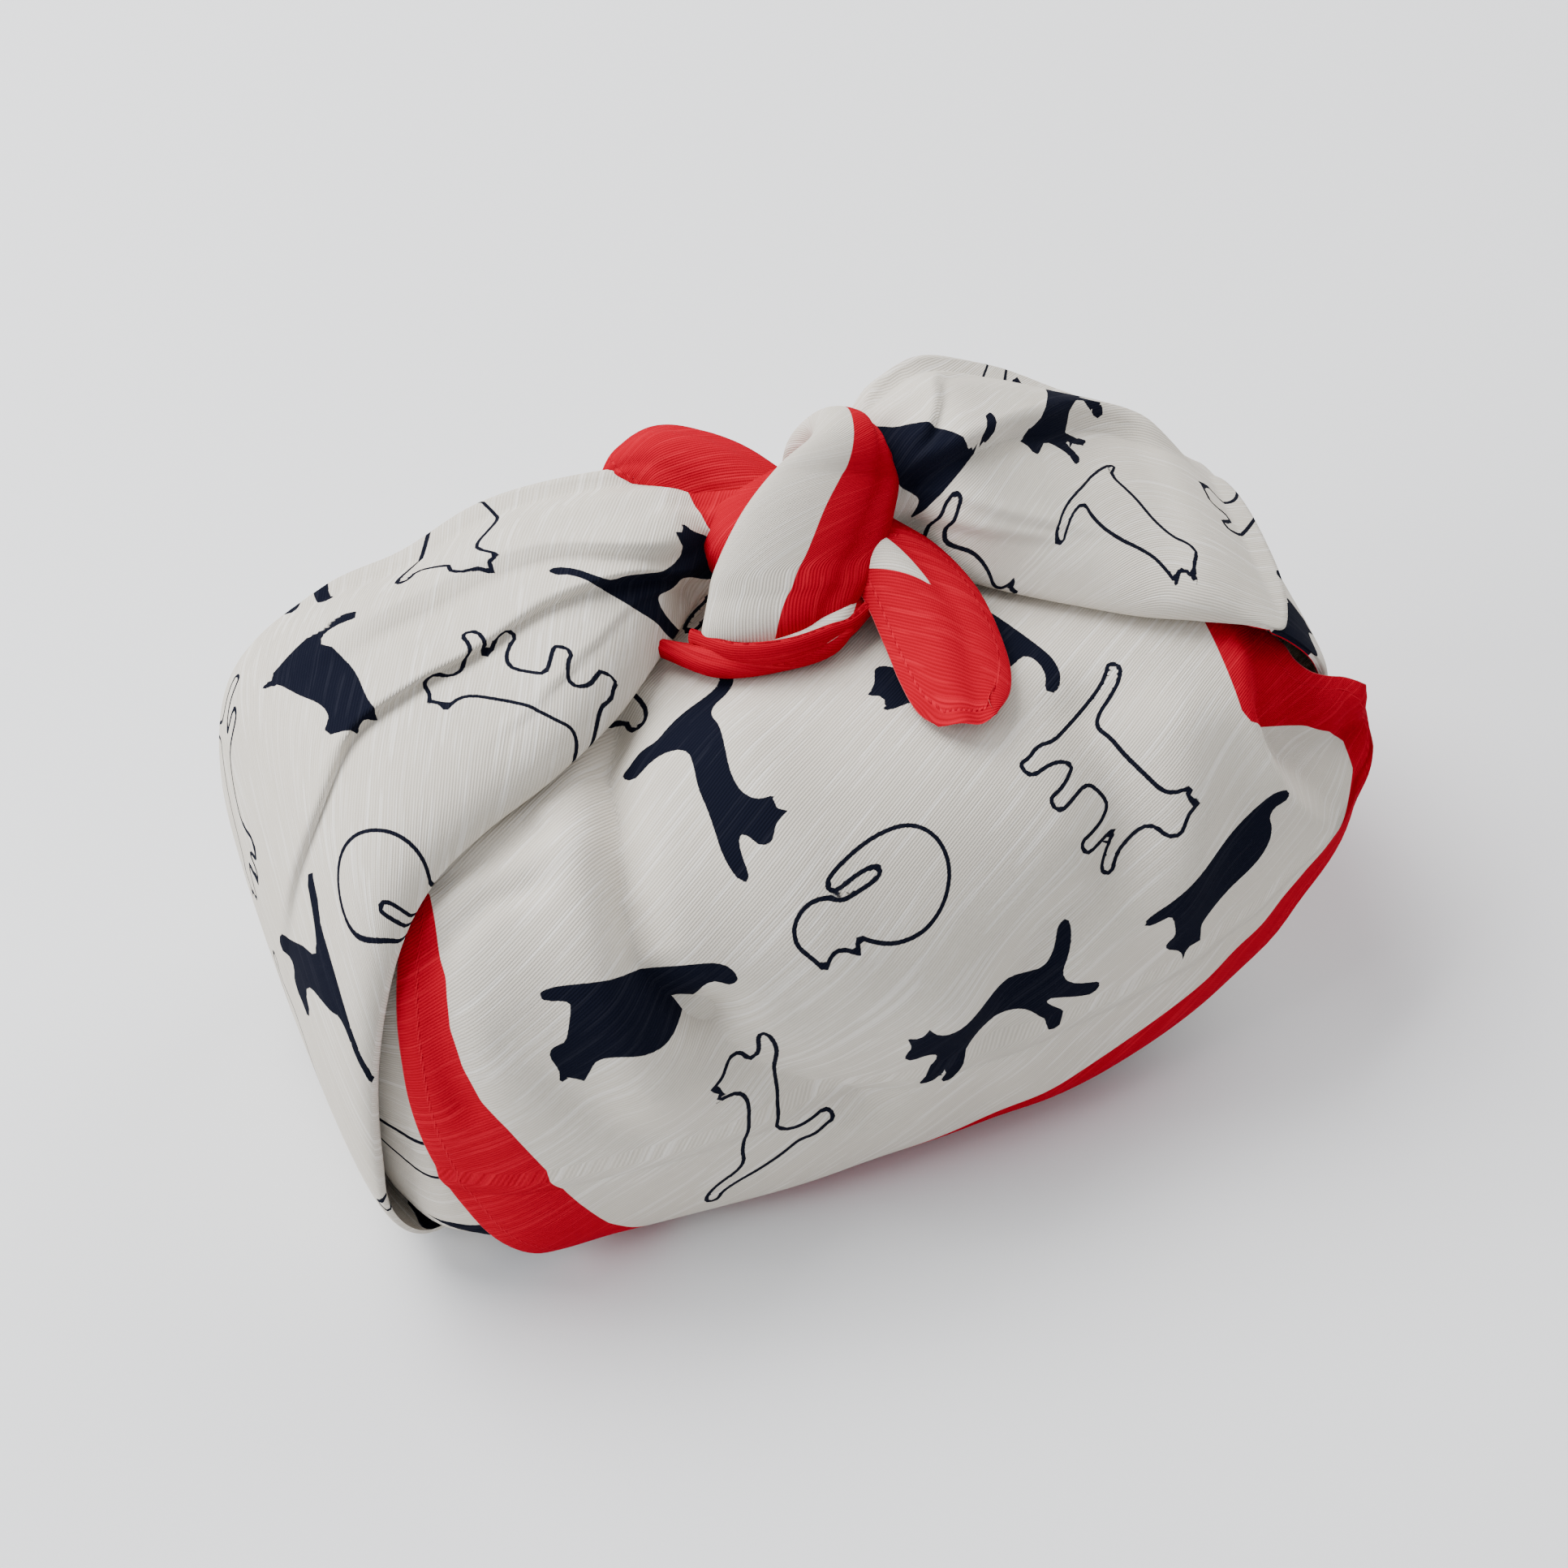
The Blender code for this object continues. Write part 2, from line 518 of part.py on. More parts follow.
def cloth_material():
    """Warm off-white slub cloth."""
    material = bpy.data.materials.new("cream_cloth")
    material.use_nodes = True
    shader = material.node_tree.nodes["Principled BSDF"]
    shader.inputs["Base Color"].default_value = COLOUR
    shader.inputs["Roughness"].default_value = ROUGHNESS
    shader.inputs["Metallic"].default_value = 0.0
    return material


def sealed_pockets(bm):
    """Vertices of every closed surface but the largest, such as a void inside the knot."""
    groups, seen = [], set()
    for start in bm.verts:
        if start in seen:
            continue
        group, front = [], [start]
        seen.add(start)
        while front:
            vert = front.pop()
            group.append(vert)
            near = [edge.other_vert(vert) for edge in vert.link_edges]
            front += [n for n in near if n not in seen]
            seen.update(near)
        groups.append(group)
    groups.sort(key=len)
    return [vert for group in groups[:-1] for vert in group]


def joined(base, others, collection):
    """One solid from base and the others, by Boolean unions."""
    for other in others:
        union = base.modifiers.new(f"join_{other.name}", "BOOLEAN")
        union.operation = "UNION"
        union.solver = "MANIFOLD"
        union.object = other
    mesh = evaluated(base)
    bm = bmesh.new()
    bm.from_mesh(mesh)
    bmesh.ops.delete(bm, geom=sealed_pockets(bm), context="VERTS")
    shift = (-CENTRE[0] * MM, -CENTRE[1] * MM, 0)
    bmesh.ops.translate(bm, vec=shift, verts=bm.verts)
    bm.to_mesh(mesh)
    bm.free()
    for obj in [base] + others:
        bpy.data.objects.remove(obj, do_unlink=True)
    result = bpy.data.objects.new("furoshiki_cloth", mesh)
    collection.objects.link(result)
    return result


def main():
    """Build the wrap."""
    for obj in list(bpy.data.objects):
        bpy.data.objects.remove(obj, do_unlink=True)
    collection = bpy.data.collections.new("furoshiki_wrap")
    bpy.context.scene.collection.children.link(collection)
    strip = sheet("strip", strip_points(run_values(STRIP_ROWS), run_values(STRIP_COLUMNS)),
                  CLOTH_THICK)
    along = np.linspace(0, 1, ARM_ROWS)
    pieces = [
        sheet("left_arm", arm_points(LEFT_ARM, LEFT_PLEATS, along, np.array(LEFT_ACROSS), 0.87),
              CLOTH_THICK),
        sheet("right_arm", arm_points(RIGHT_ARM, RIGHT_PLEATS, along, np.array(RIGHT_ACROSS),
                                      0.62), CLOTH_THICK),
        ball("knot_core", *KNOT_CORE),
        strand("knot_loop", KNOT_LOOP, 15, 12),
        strand("knot_under", KNOT_UNDER, 9, 8),
        strand("knot_hem", KNOT_HEM, 13, 6),
        sheet("right_end", rib_surface(RIGHT_END, np.linspace(0, 1, 9), np.linspace(0, 1, 8)),
              CLOTH_THICK),
        sheet("left_end", curl_surface(LEFT_END, np.linspace(0, 1, 8), np.linspace(0, 1, 10)),
              CLOTH_THICK),
    ]
    for obj in [strip] + pieces:
        collection.objects.link(obj)
    cloth = joined(strip, pieces, collection)
    cloth.data.materials.clear()
    cloth.data.materials.append(cloth_material())
    cloth.data.shade_smooth()


main()
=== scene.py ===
"""Furoshiki wrap, dressed: one slub-woven cloth with its folds, hems, border and print.

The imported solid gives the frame. The cloth here is the same sheet at a finer scale:
the wound strip, the two arms over the ends, the knot and its two free ends. Tables are
in millimetres; meshes are in metres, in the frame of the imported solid.
"""
import logging
from collections import namedtuple
from dataclasses import dataclass, field, replace
from enum import Enum

import bmesh
import bpy
import numpy as np
from mathutils import Matrix, Vector


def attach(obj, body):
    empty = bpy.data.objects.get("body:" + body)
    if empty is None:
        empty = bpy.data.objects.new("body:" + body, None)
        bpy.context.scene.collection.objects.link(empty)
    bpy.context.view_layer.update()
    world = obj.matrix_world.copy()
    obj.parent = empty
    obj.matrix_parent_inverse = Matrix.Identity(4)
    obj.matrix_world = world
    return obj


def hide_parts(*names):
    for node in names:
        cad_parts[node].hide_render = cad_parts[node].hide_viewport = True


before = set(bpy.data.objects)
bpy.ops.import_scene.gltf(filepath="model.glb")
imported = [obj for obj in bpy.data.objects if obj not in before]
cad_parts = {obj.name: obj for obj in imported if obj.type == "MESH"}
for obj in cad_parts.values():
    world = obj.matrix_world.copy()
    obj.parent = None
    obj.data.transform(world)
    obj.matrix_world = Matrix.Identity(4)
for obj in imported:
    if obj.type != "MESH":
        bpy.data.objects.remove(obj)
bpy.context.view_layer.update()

MM = 0.001
CENTRE = np.array([-3.9, -7.5, 0.0])      # the solid's footprint was centred by this
LOG = logging.getLogger("furoshiki")
HEM_WIDTH = 4.3            # how far the hem is turned in
HEM_DROP = 0.9             # how far the turned part lies under the cloth
NO_HEM = 30.0              # stands for the distance to the hem's edge where none is near

Section = namedtuple("Section", "x front back top bottom")
Edge = namedtuple("Edge", "wind left right inset")
Run = namedtuple("Run", "start end step")
Crease = namedtuple("Crease", "path depth width edge")
Fold = namedtuple("Fold", "wind x depth")
Band = namedtuple("Band", "wind left right")
Rib = namedtuple("Rib", "front crest back")
Pleat = namedtuple("Pleat", "share start end depth width line")
Strand = namedtuple("Strand", "one other thick")
Curl = namedtuple("Curl", "centre radius start end")
Lamp = namedtuple("Lamp", "name place size power colour")


def spline(knots: list, values: list, at: np.ndarray) -> np.ndarray:
    """Smooth curve through values at uneven knots.

    Args:
        knots: places of the values, rising.
        values: one value or row of values for each knot.
        at: places to read the curve at.

    Returns:
        One row for each place in at.
    """
    knots, values = np.array(knots, float), np.array(values, float)
    if values.ndim == 1:
        values = values[:, None]
    at = np.clip(np.atleast_1d(np.asarray(at, float)), knots[0], knots[-1])
    step = np.diff(knots)[:, None]
    slope = np.diff(values, axis=0) / step
    tangent = np.empty_like(values)
    tangent[0], tangent[-1] = slope[0], slope[-1]
    tangent[1:-1] = (slope[:-1] * step[1:] + slope[1:] * step[:-1]) / (step[1:] + step[:-1])
    i = np.clip(np.searchsorted(knots, at) - 1, 0, len(knots) - 2)
    h = step[i]
    t = (at[:, None] - knots[i][:, None]) / h
    return ((2 * t**3 - 3 * t**2 + 1) * values[i] + (t**3 - 2 * t**2 + t) * h * tangent[i]
            + (3 * t**2 - 2 * t**3) * values[i + 1] + (t**3 - t**2) * h * tangent[i + 1])


def soft_step(t: np.ndarray) -> np.ndarray:
    """Smooth rise from 0 to 1."""
    t = np.clip(t, 0, 1)
    return t * t * (3 - 2 * t)


def bump(t: np.ndarray) -> np.ndarray:
    """Bell of height 1 and half-width 1."""
    return np.exp(-t * t)


def run_values(runs: list) -> np.ndarray:
    """Places along a list of runs at about each run's step, without repeated ends."""
    values = [np.linspace(r.start, r.end, max(2, round((r.end - r.start) / r.step) + 1))[1:]
              for r in runs]
    return np.concatenate([[runs[0].start]] + values)


def path_distance(points: np.ndarray, path: list) -> np.ndarray:
    """Distance from each point to a path of straight pieces."""
    path = np.array(path, float)
    best = np.full(points.shape[:-1], 1e9)
    for a, b in zip(path[:-1], path[1:]):
        ab = b - a
        t = np.clip(((points - a) @ ab) / (ab @ ab), 0, 1)
        best = np.minimum(best, np.linalg.norm(points - (a + t[..., None] * ab), axis=-1))
    return best


def arc_lengths(points: np.ndarray, axis: int) -> np.ndarray:
    """Way along each row (axis 1) or column (axis 0) of a grid of points."""
    steps = np.linalg.norm(np.diff(points, axis=axis), axis=-1)
    start = np.zeros_like(np.take(steps, [0], axis=axis))
    return np.cumsum(np.concatenate([start, steps], axis=axis), axis=axis)


@dataclass
class Load:
    """The loaf-shaped load that the cloth keeps the shape of; it is not modelled."""

    sections: list = field(default_factory=lambda: [
        Section(-160, -20, 30, 98, 62), Section(-153, -52, 50, 112, 28),
        Section(-143, -70, 62, 120, 8), Section(-125, -84, 70, 126, 0),
        Section(-90, -90, 74, 129, 0), Section(-40, -91, 76, 131, 0),
        Section(20, -89, 77, 132, 0), Section(60, -84, 75, 131, 2),
        Section(95, -77, 73, 129, 12), Section(122, -68, 68, 124, 30),
        Section(142, -57, 60, 115, 52), Section(154, -38, 46, 105, 74),
        Section(158, -15, 30, 98, 84)])
    top_power: float = 2.6         # how round the upper half is; 2 is an ellipse
    bottom_power: float = 6.0
    waist: float = 0.40            # share of the height at which it is widest
    middle_x: float = -40.0        # the section that the winding is measured round
    cloth: float = 1.5             # the cloth's thickness in the solid

    def spans(self, x: np.ndarray) -> np.ndarray:
        """Front, back, top and bottom of the load at x, one row each."""
        return spline([s.x for s in self.sections], [s[1:] for s in self.sections], x).T

    def skin(self, x: np.ndarray, angle: np.ndarray, inset: np.ndarray = 0.0) -> tuple:
        """Points and inward normals on the load's skin.

        Args:
            x: places along the wrap.
            angle: angle round it; 180 degrees is the front and 90 the top.
            inset: depth under the skin.

        Returns:
            Points and inward normals.
        """
        x, angle = np.broadcast_arrays(np.asarray(x, float), np.asarray(angle, float))
        front, back, top, bottom = (c.reshape(x.shape) for c in self.spans(x.ravel()))
        bottom = np.maximum(bottom, 0)
        inset = np.minimum(inset, 0.25 * np.minimum(back - front, top - bottom))
        front, back, top, bottom = front + inset, back - inset, top - inset, bottom + inset
        c, s = np.cos(angle), np.sin(angle)
        power = np.where(s > 0, self.top_power, self.bottom_power)
        mid_y, half_y = (front + back) / 2, (back - front) / 2
        mid_z = bottom + (top - bottom) * self.waist
        half_z = np.where(s > 0, top - mid_z, mid_z - bottom)
        y = mid_y + half_y * np.sign(c) * np.abs(c) ** (2 / power)
        z = mid_z + half_z * np.sign(s) * np.abs(s) ** (2 / power)
        z = np.where(s < 0, np.maximum(z - 0.5, bottom), z)
        ny = np.sign(c) * np.abs(c) ** (2 - 2 / power) / half_y
        nz = np.sign(s) * np.abs(s) ** (2 - 2 / power) / half_z
        length = np.hypot(ny, nz)
        inward = np.stack([0 * y, -ny / length, -nz / length], -1)
        return np.stack([x, y, z + self.cloth / 2], -1), inward

    def rest(self, points: np.ndarray, gap: float) -> np.ndarray:
        """Points moved out where they lie closer to the load's skin than gap."""
        x, y, z = points.reshape(-1, 3).T
        front, back, top, bottom = self.spans(x)
        mid_y, half_y = (front + back) / 2, (back - front) / 2 + gap
        mid_z = bottom + (top - bottom) * self.waist + self.cloth / 2
        upper = z > mid_z
        rise = np.where(upper, 1 - self.waist, self.waist)
        half_z = (top - bottom) * rise + gap
        power = np.where(upper, self.top_power, self.bottom_power)
        inside = np.abs((y - mid_y) / half_y) ** power + np.abs((z - mid_z) / half_z) ** power
        close = (inside < 1) & (np.abs(x) < 158)
        grow = np.where(close, np.maximum(inside, 0.2) ** (-1 / power), 1)
        moved = np.stack([x, mid_y + (y - mid_y) * grow, mid_z + (z - mid_z) * grow], -1)
        return moved.reshape(points.shape)

    def winding(self) -> tuple:
        """Way round the middle section from the middle of the bottom, and the angles."""
        angle = np.radians(np.linspace(270, -90, 1441))
        ring = self.skin(np.full_like(angle, self.middle_x), angle)[0]
        steps = np.linalg.norm(np.diff(ring, axis=0), axis=1)
        return np.concatenate([[0.0], np.cumsum(steps)]), angle


class Side(Enum):
    """A long side of a patch."""

    FIRST = "first column"
    LAST = "last column"


@dataclass
class Patch:
    """A grid of the cloth's surface with what its weave and dye need.

    Fields: points (rows, columns, 3); place, where each point lies on the cut cloth; red,
    how far it is inside the border; edge, how far from the hem's edge; run, how far along
    the hem; wrong, 1 where the wrong side shows; printed, whether drawings fall on it.
    """

    name: str
    points: np.ndarray
    place: np.ndarray
    red: np.ndarray
    edge: np.ndarray
    run: np.ndarray
    wrong: np.ndarray
    turn: float = 0.0          # angle of the drawings to the patch's rows
    shift: tuple = (0.0, 0.0)  # where the first drawing lies
    printed: bool = True
    tube: bool = False

    def with_hem(self, side: Side, mitre: np.ndarray = None) -> "Patch":
        """The patch with a hem turned under along one side.

        Args:
            side: which side.
            mitre: how far each point along it is from the corner that it narrows towards.

        Returns:
            A patch with more columns.
        """
        flip = side is Side.FIRST
        grid = {n: getattr(self, n) for n in ("points", "place", "red", "edge", "run", "wrong")}
        if flip:
            grid = {n: g[:, ::-1] for n, g in grid.items()}
        rim = grid["points"][:, -1]
        inward = grid["points"][:, -4] - rim
        inward /= np.linalg.norm(inward, axis=1)[:, None] + 1e-9
        under = np.cross(np.gradient(rim, axis=0), inward)
        under /= np.linalg.norm(under, axis=1)[:, None] + 1e-9
        under *= -1.0 if flip else 1.0
        turns = [(-0.35, 0.15), (-0.35, 0.75), (0.3, 1.0), (HEM_WIDTH * 0.5, 1.0),
                 (HEM_WIDTH, 0.9), (HEM_WIDTH + 0.2, 0.3)]
        more = {n: [] for n in grid}
        size = np.ones(len(rim)) if mitre is None else np.clip(mitre / HEM_WIDTH, 0.02, 1)
        for inset, down in turns:
            more["points"].append(rim + inward * (inset * size)[:, None]
                                  + under * (HEM_DROP * down * size)[:, None])
            more["edge"].append(grid["edge"][:, -1] * 0 + abs(inset))
            for n in ("place", "red", "run"):
                more[n].append(grid[n][:, -1])
            more["wrong"].append(grid["wrong"][:, -1] * 0 + 1)
        for n in grid:
            grid[n] = np.concatenate([grid[n], np.stack(more[n], 1)], 1)
        if flip:
            grid = {n: g[:, ::-1] for n, g in grid.items()}
        return replace(self, **grid)


@dataclass
class WoundStrip:
    """The part of the cloth that winds once and a half round the load."""

    load: Load
    close_step: float = 4.4        # the layers' distance where the left end closes
    edges: list = field(default_factory=lambda: [
        Edge(-455, -24, 24, 9.0), Edge(-425, -56, 54, 9.0), Edge(-390, -92, 84, 9.0),
        Edge(-350, -118, 94, 9.0), Edge(-310, -132, 96, 9.0), Edge(-258, -138, 96, 9.0),
        Edge(-215, -140, 96, 9.0), Edge(-195, -143, 96, 9.0), Edge(-180, -147, 96, 9.0),
        Edge(-150, -149, 96, 9.0), Edge(-132, -149, 104, 9.0), Edge(-120, -149, 126, 9.0),
        Edge(-108, -149, 142, 7.0), Edge(-85, -148, 150, 4.5), Edge(-60, -142, 152, 2.6),
        Edge(-38, -137, 153, 2.6), Edge(-15, -134, 154, 0.6), Edge(60, -142, 154, 0.0),
        Edge(85, -148, 154, 0.0), Edge(118, -149, 153, 0.0), Edge(130, -149, 151, 0.0),
        Edge(142, -149, 148, 0.0), Edge(154, -149, 143, 0.0), Edge(166, -149, 136, 0.0),
        Edge(178, -149, 127, 0.0), Edge(190, -149, 118, 0.0), Edge(204, -149, 112, 0.0),
        Edge(258, -143, 113, 0.0), Edge(285, -134, 118, 0.0), Edge(292, -132, 123, 0.0),
        Edge(299, -130, 127, 0.0), Edge(306, -132, 129, 0.0), Edge(312, -134, 133, 0.0),
        Edge(318, -136, 139, 0.0), Edge(326, -138, 146, 0.0), Edge(338, -140, 151, 0.0),
        Edge(352, -141, 153, 0.0), Edge(368, -141, 154, 0.0),
        Edge(389, -138, 154, 0.0), Edge(408, -132, 146, 0.0), Edge(422, -125, 128, 0.0),
        Edge(435, -112, 98, 0.0), Edge(446, -96, 58, 0.0), Edge(458, -80, 8, 0.0),
        Edge(470, -64, -46, 0.0)])
    rows: list = field(default_factory=lambda: [
        Run(-455, -60, 8.0), Run(-60, 60, 6.5), Run(60, 205, 2.9), Run(205, 262, 2.4),
        Run(262, 470, 1.5)])
    columns: list = field(default_factory=lambda: [
        Run(0.0, 0.08, 0.0052), Run(0.08, 0.88, 0.0062), Run(0.88, 1.0, 0.0054)])
    # where the border's inner line lies, on the left and on the right
    border: list = field(default_factory=lambda: [
        Band(-455, -400, 400), Band(-132, -400, 400), Band(-112, -400, 140),
        Band(-100, -400, 128), Band(60, -400, 129), Band(120, -400, 131),
        Band(150, -400, 150), Band(170, -400, 180), Band(262, -160, 130), Band(285, -130, 104),
        Band(299, -124, 104), Band(319, -126, 104), Band(324, -126, 106), Band(330, -127, 117),
        Band(339, -128, 130), Band(351, -127, 137), Band(363, -124, 140), Band(372, -119, 142),
        Band(390, -111, 143), Band(397, -108, 138), Band(404, -105, 129), Band(410, -102, 110),
        Band(419, -97, 66), Band(424, -94, 40), Band(431, -87.5, 12), Band(438, -80, -30),
        Band(447, -70, -64), Band(456, -52, -92), Band(470, -20, -150)])
    creases: list = field(default_factory=lambda: [
        Crease([(-61, -7, 131), (-68, -21, 131), (-70, -37, 129), (-76, -62, 120),
                (-77, -75, 108), (-71, -82, 99), (-62, -86, 91)], 6.4, 7.5, 2.4),
        Crease([(-62, -86, 91), (-54, -90, 76), (-36, -91, 55), (-19, -91, 44)],
               4.6, 9.5, 1.2),
        Crease([(60, -46, 126), (61, -63, 116), (60, -73, 104), (54, -79, 94),
                (36, -84, 86), (24, -88, 72), (19, -89, 58)], 5.0, 11.0, 0.3),
        Crease([(-88, -48, 125), (-90, -66, 116), (-88, -80, 101), (-80, -89, 76)],
               -4.5, 12.0, 0.0),
        Crease([(-37, -32, 131), (-36, -57, 123), (-30, -76, 108), (-18, -86, 91),
                (-2, -89, 75)], -5.0, 17.0, 0.0),
        Crease([(84, -55, 119), (82, -70, 101), (76, -79, 80)], -4.0, 12.0, 0.0),
        Crease([(-128, -58, 112), (-130, -70, 97), (-127, -80, 78)], 2.4, 6.0, 0.0),
        Crease([(-122, -43, 124), (-107, -41, 126), (-94, -36, 128)], 1.9, 4.5, 0.4),
        Crease([(-124, -57, 117), (-110, -52, 122), (-98, -52, 123)], 1.6, 4.0, 0.3),
        Crease([(-113, -80, 96), (-102, -87, 82), (-84, -90, 58)], 1.5, 7.0, 0.0),
        Crease([(98, -60, 106), (92, -74, 82), (94, -74, 56), (100, -66, 36)],
               1.8, 9.0, 0.0),
        Crease([(118, -58, 92), (112, -66, 70), (114, -66, 50)], 1.5, 7.0, 0.2),
        Crease([(0, -82, 98), (14, -88, 60), (36, -86, 24)], -1.3, 12.0, 0.0),
        Crease([(20, -50, 123), (40, -68, 110), (50, -78, 94)], -1.2, 9.0, 0.0)])
    scoop: list = field(default_factory=lambda: [
        Fold(285, 116, 4), Fold(304, 113, 6), Fold(322, 111, 14), Fold(347, 115, 17),
        Fold(370, 124, 12), Fold(389, 131, 4), Fold(400, 136, 0)])
    scoop_wall: float = 7.0        # width of the fold left of the scoop
    scoop_floor: float = 10.0      # how far past the fold the scoop starts to come out
    scoop_fade: float = 16.0       # how softly it comes out
    crease_edge: float = 2.0       # width of a crease's sharp line
    outer_from: float = 205.0      # the wind from which the strip is the outer layer
    scoop_from: float = 240.0      # the wind from which the scoop may show
    hems_from: tuple = (282.0, 290.0)   # the winds from which the left and right hems show
    closing: tuple = (-126.0, 14.0)     # where the layers close up at the left end

    def bend(self, points: np.ndarray, winds: np.ndarray, x: np.ndarray) -> np.ndarray:
        """How far each point is pressed in by creases and by the right-hand scoop."""
        press = np.zeros_like(x)
        for crease in self.creases:
            gap = path_distance(points, crease.path)
            press += crease.depth * bump(gap / crease.width)
            press += crease.edge * np.exp(-gap / self.crease_edge)
        fold_x, depth = spline([f.wind for f in self.scoop], [f[1:] for f in self.scoop],
                               winds).T
        depth = depth * (winds > self.scoop_from)
        past = x - fold_x[:, None]
        press += (depth[:, None] * soft_step(past / self.scoop_wall + 0.5)
                  * np.exp(-np.maximum(past - self.scoop_floor, 0) ** 2
                           / (2 * self.scoop_fade ** 2)))
        # the weave's slack: long shallow ripples
        w = winds[:, None] + 0 * x
        press += 0.35 * np.sin(0.071 * x + 0.043 * w + 1.3 * np.sin(0.031 * w + 0.4))
        press += 0.22 * np.sin(0.118 * x - 0.092 * w + 0.9 * np.sin(0.045 * x))
        return press * (winds > self.outer_from)[:, None]

    def patch(self) -> Patch:
        """The strip's surface with its border, hem edge and place on the cloth."""
        winds, shares = run_values(self.rows), run_values(self.columns)
        way, angle = self.load.winding()
        left, right, inset = spline([e.wind for e in self.edges],
                                    [e[1:] for e in self.edges], winds).T
        inset = np.maximum(inset, 0)
        x = left[:, None] + (right - left)[:, None] * shares[None, :]
        turn = np.interp(np.mod(-winds, way[-1]), way, angle)[:, None] + 0 * x
        close = soft_step((self.closing[0] - x) / self.closing[1])
        depth = np.minimum(inset[:, None], self.close_step) - inset[:, None]
        points, inward = self.load.skin(x, turn, inset[:, None] + depth * close)
        points = points + inward * self.bend(points, winds, x)[..., None]
        inner = np.array(self.border, float)
        lines = np.array([np.interp(winds, inner[:, 0], inner[:, k]) for k in (1, 2)])
        slant = np.gradient(lines, winds, axis=1)
        red = np.maximum((lines[0][:, None] - x) / np.hypot(1, slant[0])[:, None],
                         (x - lines[1][:, None]) / np.hypot(1, slant[1])[:, None])
        lean = np.gradient(np.stack([left, right]), winds, axis=1)
        edge = np.minimum((x - left[:, None]) / np.hypot(1, lean[0])[:, None],
                          (right[:, None] - x) / np.hypot(1, lean[1])[:, None])
        w = winds[:, None]
        outside = (w > self.hems_from[0]) & (x < 0) | (w > self.hems_from[1]) & (x > 0)
        edge = np.where(outside, edge, NO_HEM)
        run = arc_lengths(points, 0)
        place = np.stack([x, w + 0 * x], -1)
        patch = Patch("strip", points, place, red, edge, run, 0 * x,
                      turn=np.radians(-33), shift=(6.0, 18.0))
        return patch.with_hem(Side.FIRST).with_hem(Side.LAST)


